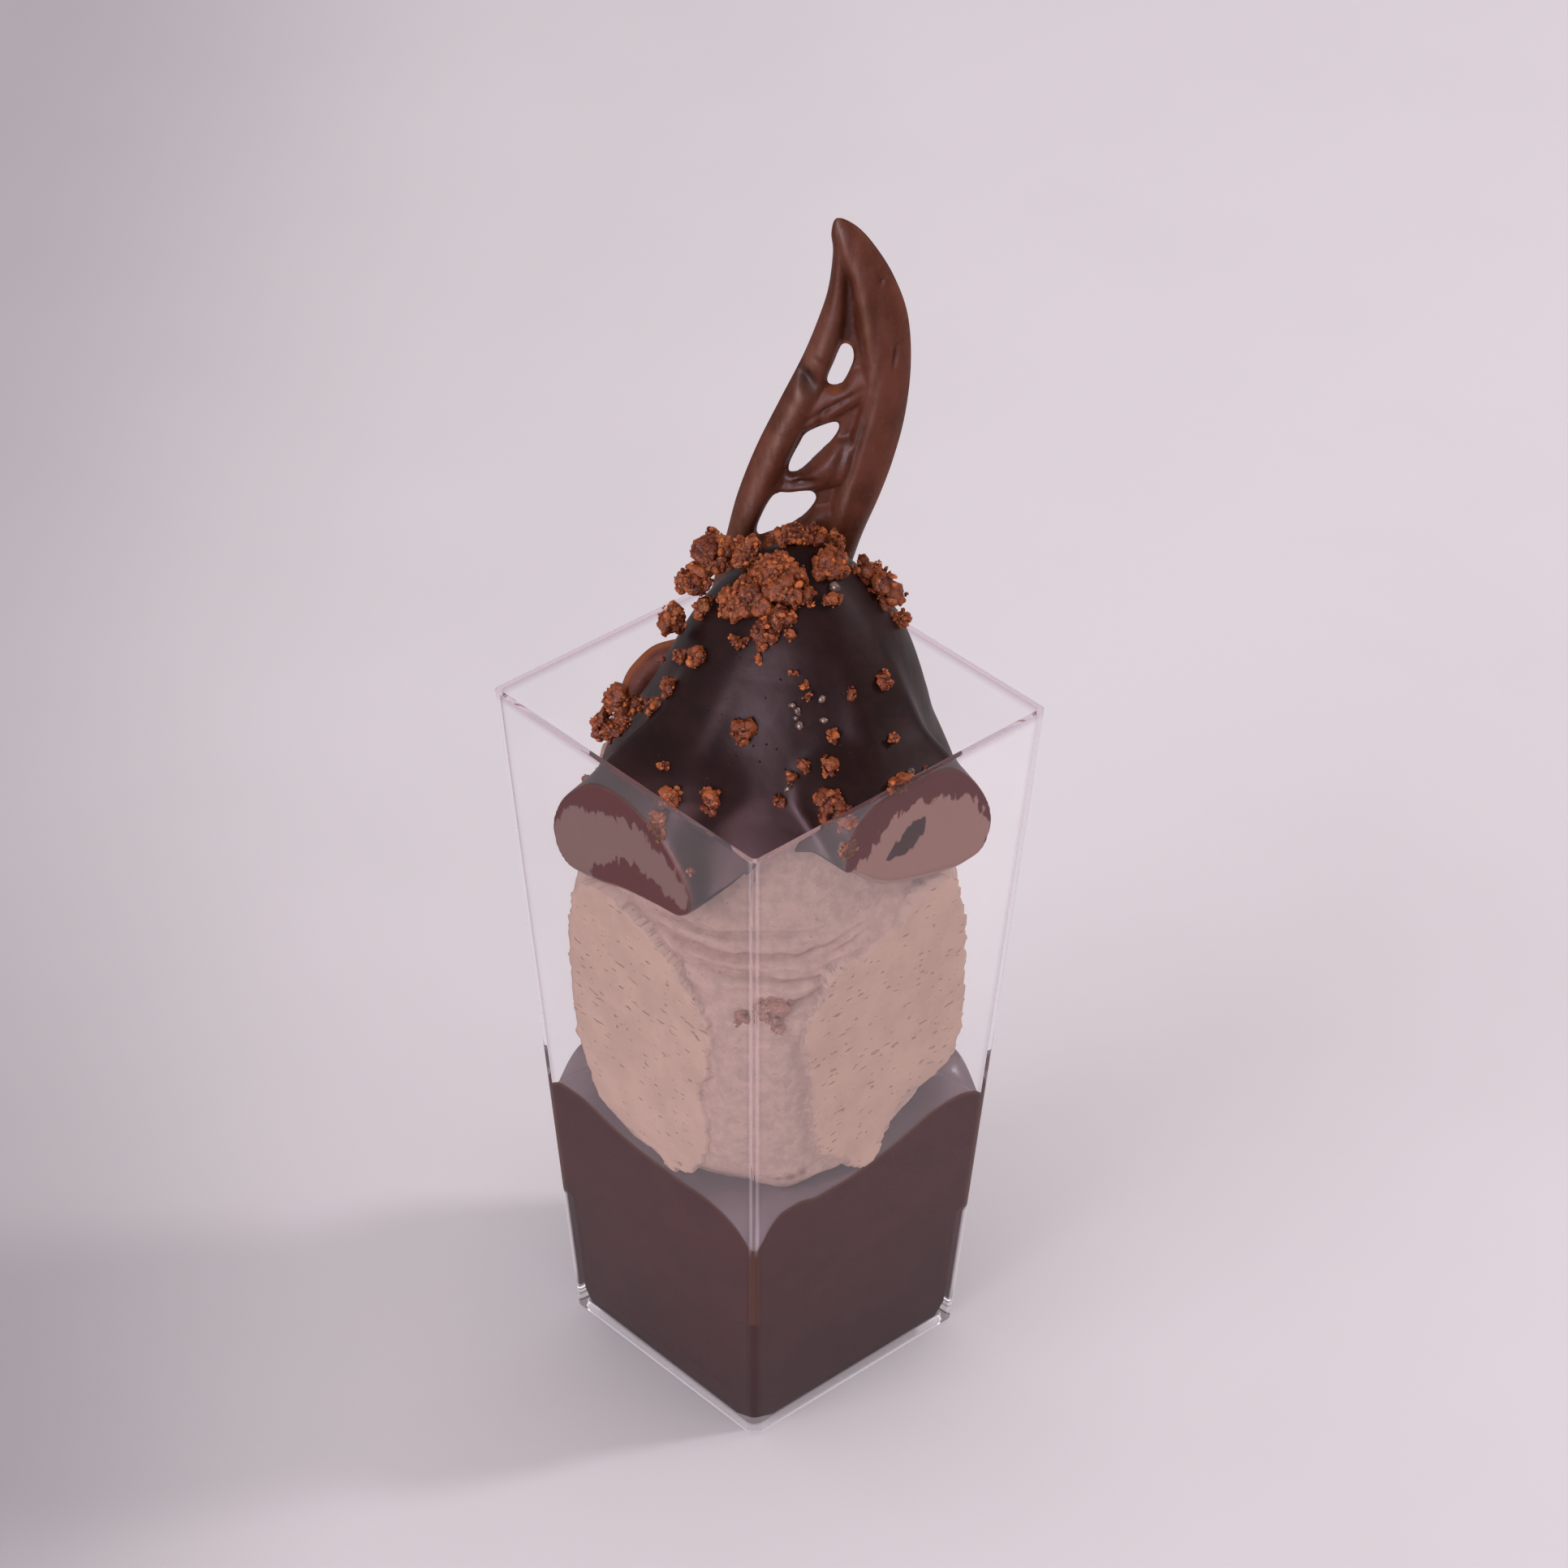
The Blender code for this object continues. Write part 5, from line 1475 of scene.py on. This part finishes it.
def make_crumbs(name, arrays, material):
    """A crumb object from joined arrays, kept inside the cup's walls."""
    points, quads, triangles, tone = arrays
    piece = make_piece(name, keep_in_cup(points), quads, triangles, material, {"tone": tone})


class MOUSSE_OT_crumbs(bpy.types.Operator):
    """Build the crumbs on the dome and mousse: angular lumps with rough grains over them"""
    bl_idname = "mousse.crumbs"
    bl_label = "Crumbs"

    def execute(self, context):
        chosen = settings(context, "crumbs")
        rng = np.random.default_rng(chosen.seed)
        here, normal, width, tall = (
            np.concatenate(pair) for pair in zip(on_body(DOME_CRUMBS, dome_radius, dome_centre),
                                                 rim_crumbs()))
        here = here + normal * (0.10 * np.minimum(width, tall))[:, None]
        material = crumb_material("crumb", chosen.dark, chosen.light)
        spots, outs, half = lumps(here, normal, width, tall, rng)
        make_crumbs("crumb_bodies", flat_arrays(nuggets(spots, outs, half, rng)), material)
        centres, sizes = grains_on(spots, outs, half, rng)
        make_crumbs("crumb_grains", flat_arrays(grains(centres, sizes, rng)), material)
        here, normal, width, tall = on_body(MOUSSE_CRUMBS, mousse_free, mousse_centre)
        spots, outs, half = lumps(here - normal * 0.1, normal, width, tall, rng)
        centres, sizes = grains_on(spots, outs, half, rng)
        soaked = crumb_material("soaked_crumb", chosen.soaked, [c * 1.5 for c in chosen.soaked])
        make_crumbs("mousse_crumbs", flat_arrays(nuggets(spots, outs, half, rng),
                                                 grains(centres, sizes, rng)), soaked)
        return {"FINISHED"}


class MOUSSE_OT_sugar(bpy.types.Operator):
    """Build the glassy sugar grains on the dome: small rough balls with a pale sheen"""
    bl_idname = "mousse.sugar"
    bl_label = "Sugar grains"

    def execute(self, context):
        rng = np.random.default_rng(settings(context, "crumbs").seed + 1)
        here, normal, width, _ = on_body(SUGAR_GRAINS, dome_radius, dome_centre)
        material, tree, shader = surface("sugar", Roughness=0.3)
        tone = uneven(tree, place(tree), 0.6, rgb(SUGAR_DARK), rgb(SUGAR_LIGHT))
        tone["Colour"].feeds(shader, "Base Color")
        points, quads, triangles, _ = flat_arrays(grains(here + normal * 0.1, width, rng))
        piece = make_piece("sugar_grains", keep_in_cup(points), quads, triangles, material)
        return {"FINISHED"}


# ---------------------------------------------------------------- the stage

CAMERA_PLACE = (373.67, -339.26, 444.18)
CAMERA_HEADING = 137.559         # degrees round Z
CAMERA_TILT = 35.785             # degrees below level
CAMERA_ROLL = 0.580              # degrees
CAMERA_LENS = 123.75
LIGHT_AIM, LIGHT_DISTANCE = 0.06, 0.9       # metres: height that the lights look at, and how far off
FLOOR_REACH, FLOOR_LEVEL = 2.5, -0.0003     # metres
ROOM_COLOUR = (1.0, 0.905, 0.972, 1.0)


def aim(heading, tilt, roll=0.0):
    """Right, up and backward axes for a heading, a tilt below level and a roll, in degrees."""
    turn, drop, lean = (math.radians(angle) for angle in (heading, tilt, roll))
    forward = Vector((math.cos(turn) * math.cos(drop), math.sin(turn) * math.cos(drop),
                      -math.sin(drop)))
    right = Vector((math.sin(turn), -math.cos(turn), 0.0))
    up = right.cross(forward)
    across = right * math.cos(lean) + up * math.sin(lean)
    above = up * math.cos(lean) - right * math.sin(lean)
    return Matrix((across, above, -forward)).transposed()


def area_light(name, direction, rise, size, power, colour, tall=None):
    """A round or oval area light that looks at the cup from a direction and a rise, in degrees."""
    lamp = bpy.data.lights.new(name, "AREA")
    lamp.shape, lamp.size, lamp.energy, lamp.color = "DISK", size, power, colour
    if tall:
        lamp.shape, lamp.size_y = "ELLIPSE", tall
    holder = bpy.data.objects.new(name, lamp)
    bpy.context.scene.collection.objects.link(holder)
    axes = aim(direction + 180.0, rise)
    spot = Vector((0.0, 0.0, LIGHT_AIM)) + axes.col[2] * LIGHT_DISTANCE
    holder.matrix_world = Matrix.Translation(spot) @ axes.to_4x4()
    return holder


def floor_material(chosen):
    """Pale floor with painted shade: its colour darkens towards the left and, there, towards the viewer."""
    material, tree, shader = surface("pale_floor", Roughness=0.7, Specular_IOR_Level=0.2)
    spot = field(tree, "ShaderNodeTexCoord", "Object")
    turned = field(tree, "ShaderNodeMapping", 0, {"Vector": spot, "Rotation": (0, 0, FRONT)})
    ways = node(tree, "ShaderNodeSeparateXYZ", {"Vector": turned}).outputs
    lateral, depth = Field(tree, ways["X"]), Field(tree, ways["Y"])
    # Painted shade: the floor's colour falls off as the light does.
    fall = remap(lateral, -0.06, 0.03, 0.945, 1.0) - remap(lateral, -0.150, -0.055, 0.29, 0.0)
    towards = remap(depth, -0.045, 0.140, 1.0, 0.0)
    fall = fall * (towards * remap(lateral, -0.095, -0.038, 0.30, 0.03)).rest()
    share = fall * remap(cloud(tree, spot, 25.0, 3.0), 0.3, 0.7, 0.99, 1.01)
    blend(share, rgb((0.0, 0.0, 0.0)), rgb(chosen.floor)).feeds(shader, "Base Color")
    return material


def make_floor(chosen):
    """A wide flat floor just under the cup."""
    mesh = bpy.data.meshes.new("floor")
    corners = ((-1, -1), (1, -1), (1, 1), (-1, 1))
    mesh.from_pydata([(x * FLOOR_REACH, y * FLOOR_REACH, FLOOR_LEVEL) for x, y in corners], [],
                     [(0, 1, 2, 3)])
    mesh.materials.append(floor_material(chosen))
    floor = bpy.data.objects.new("floor", mesh)
    bpy.context.scene.collection.objects.link(floor)


def make_camera():
    """The camera, set as the scene's own."""
    lens = bpy.data.cameras.new("Camera")
    lens.sensor_width, lens.lens, lens.clip_start = 36.0, CAMERA_LENS, 0.01
    camera = bpy.data.objects.new("Camera", lens)
    bpy.context.scene.collection.objects.link(camera)
    axes = aim(CAMERA_HEADING, CAMERA_TILT, CAMERA_ROLL)
    camera.matrix_world = Matrix.Translation(Vector(CAMERA_PLACE) * MM) @ axes.to_4x4()
    bpy.context.scene.camera = camera


class MOUSSE_OT_stage(bpy.types.Operator):
    """Build the pale floor, the soft light and the camera"""
    bl_idname = "mousse.stage"
    bl_label = "Stage"

    def execute(self, context):
        chosen = settings(context, "stage")
        make_floor(chosen)
        world = bpy.data.worlds.new("Soft room")
        world.use_nodes = True
        backdrop = world.node_tree.nodes["Background"]
        backdrop.inputs["Color"].default_value = ROOM_COLOUR
        backdrop.inputs["Strength"].default_value = chosen.sky
        context.scene.world = world
        area_light("Key", 57.0, math.degrees(chosen.key_rise), 0.12, chosen.key, (1.0, 0.90, 0.95))
        area_light("Window", -91.0, 26.0, 0.6, 2.7, (1.0, 0.905, 0.98))
        sheen = area_light("Sheen", -69.0, 11.0, 0.34, 21.0, (1.0, 0.84, 0.98), tall=0.75)
        sheen.visible_diffuse = False
        make_camera()
        context.scene.view_settings.view_transform = "Standard"
        return {"FINISHED"}


class MOUSSE_PT_panel(bpy.types.Panel):
    """Buttons for every piece"""
    bl_idname = "MOUSSE_PT_panel"
    bl_label = "Mousse cup"
    bl_space_type = "VIEW_3D"
    bl_region_type = "UI"
    bl_category = "Mousse"

    def draw(self, context):
        for operator in OPERATORS:
            self.layout.operator(operator.bl_idname)
        for name, group in SETTINGS.items():
            box = self.layout.box()
            box.label(text=group.__doc__)
            for key in group.__annotations__:
                box.prop(settings(context, name), key)


SETTINGS = {"cup": CupSettings, "layer": LayerSettings, "column": MousseSettings,
            "dome": DomeSettings, "leaf": LeafSettings, "crumbs": CrumbSettings,
            "stage": StageSettings}
OPERATORS = (MOUSSE_OT_cup, MOUSSE_OT_layer, MOUSSE_OT_column, MOUSSE_OT_dome, MOUSSE_OT_leaf,
             MOUSSE_OT_crumbs, MOUSSE_OT_sugar, MOUSSE_OT_stage)


def register():
    """Add the settings, the operators and the panel."""
    for kind in (*SETTINGS.values(), *OPERATORS, MOUSSE_PT_panel):
        bpy.utils.register_class(kind)
    for name, group in SETTINGS.items():
        setattr(bpy.types.Scene, "mousse_" + name, bpy.props.PointerProperty(type=group))


def unregister():
    """Take the panel, the operators and the settings away."""
    for name in SETTINGS:
        delattr(bpy.types.Scene, "mousse_" + name)
    for kind in reversed((*SETTINGS.values(), *OPERATORS, MOUSSE_PT_panel)):
        bpy.utils.unregister_class(kind)


def main():
    """Build every piece, then the stage."""
    register()
    bpy.ops.mousse.cup()
    bpy.ops.mousse.layer()
    bpy.ops.mousse.column()
    bpy.ops.mousse.dome()
    bpy.ops.mousse.leaf()
    bpy.ops.mousse.crumbs()
    bpy.ops.mousse.sugar()
    bpy.ops.mousse.stage()
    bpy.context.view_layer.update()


if __name__ == "__main__":
    main()
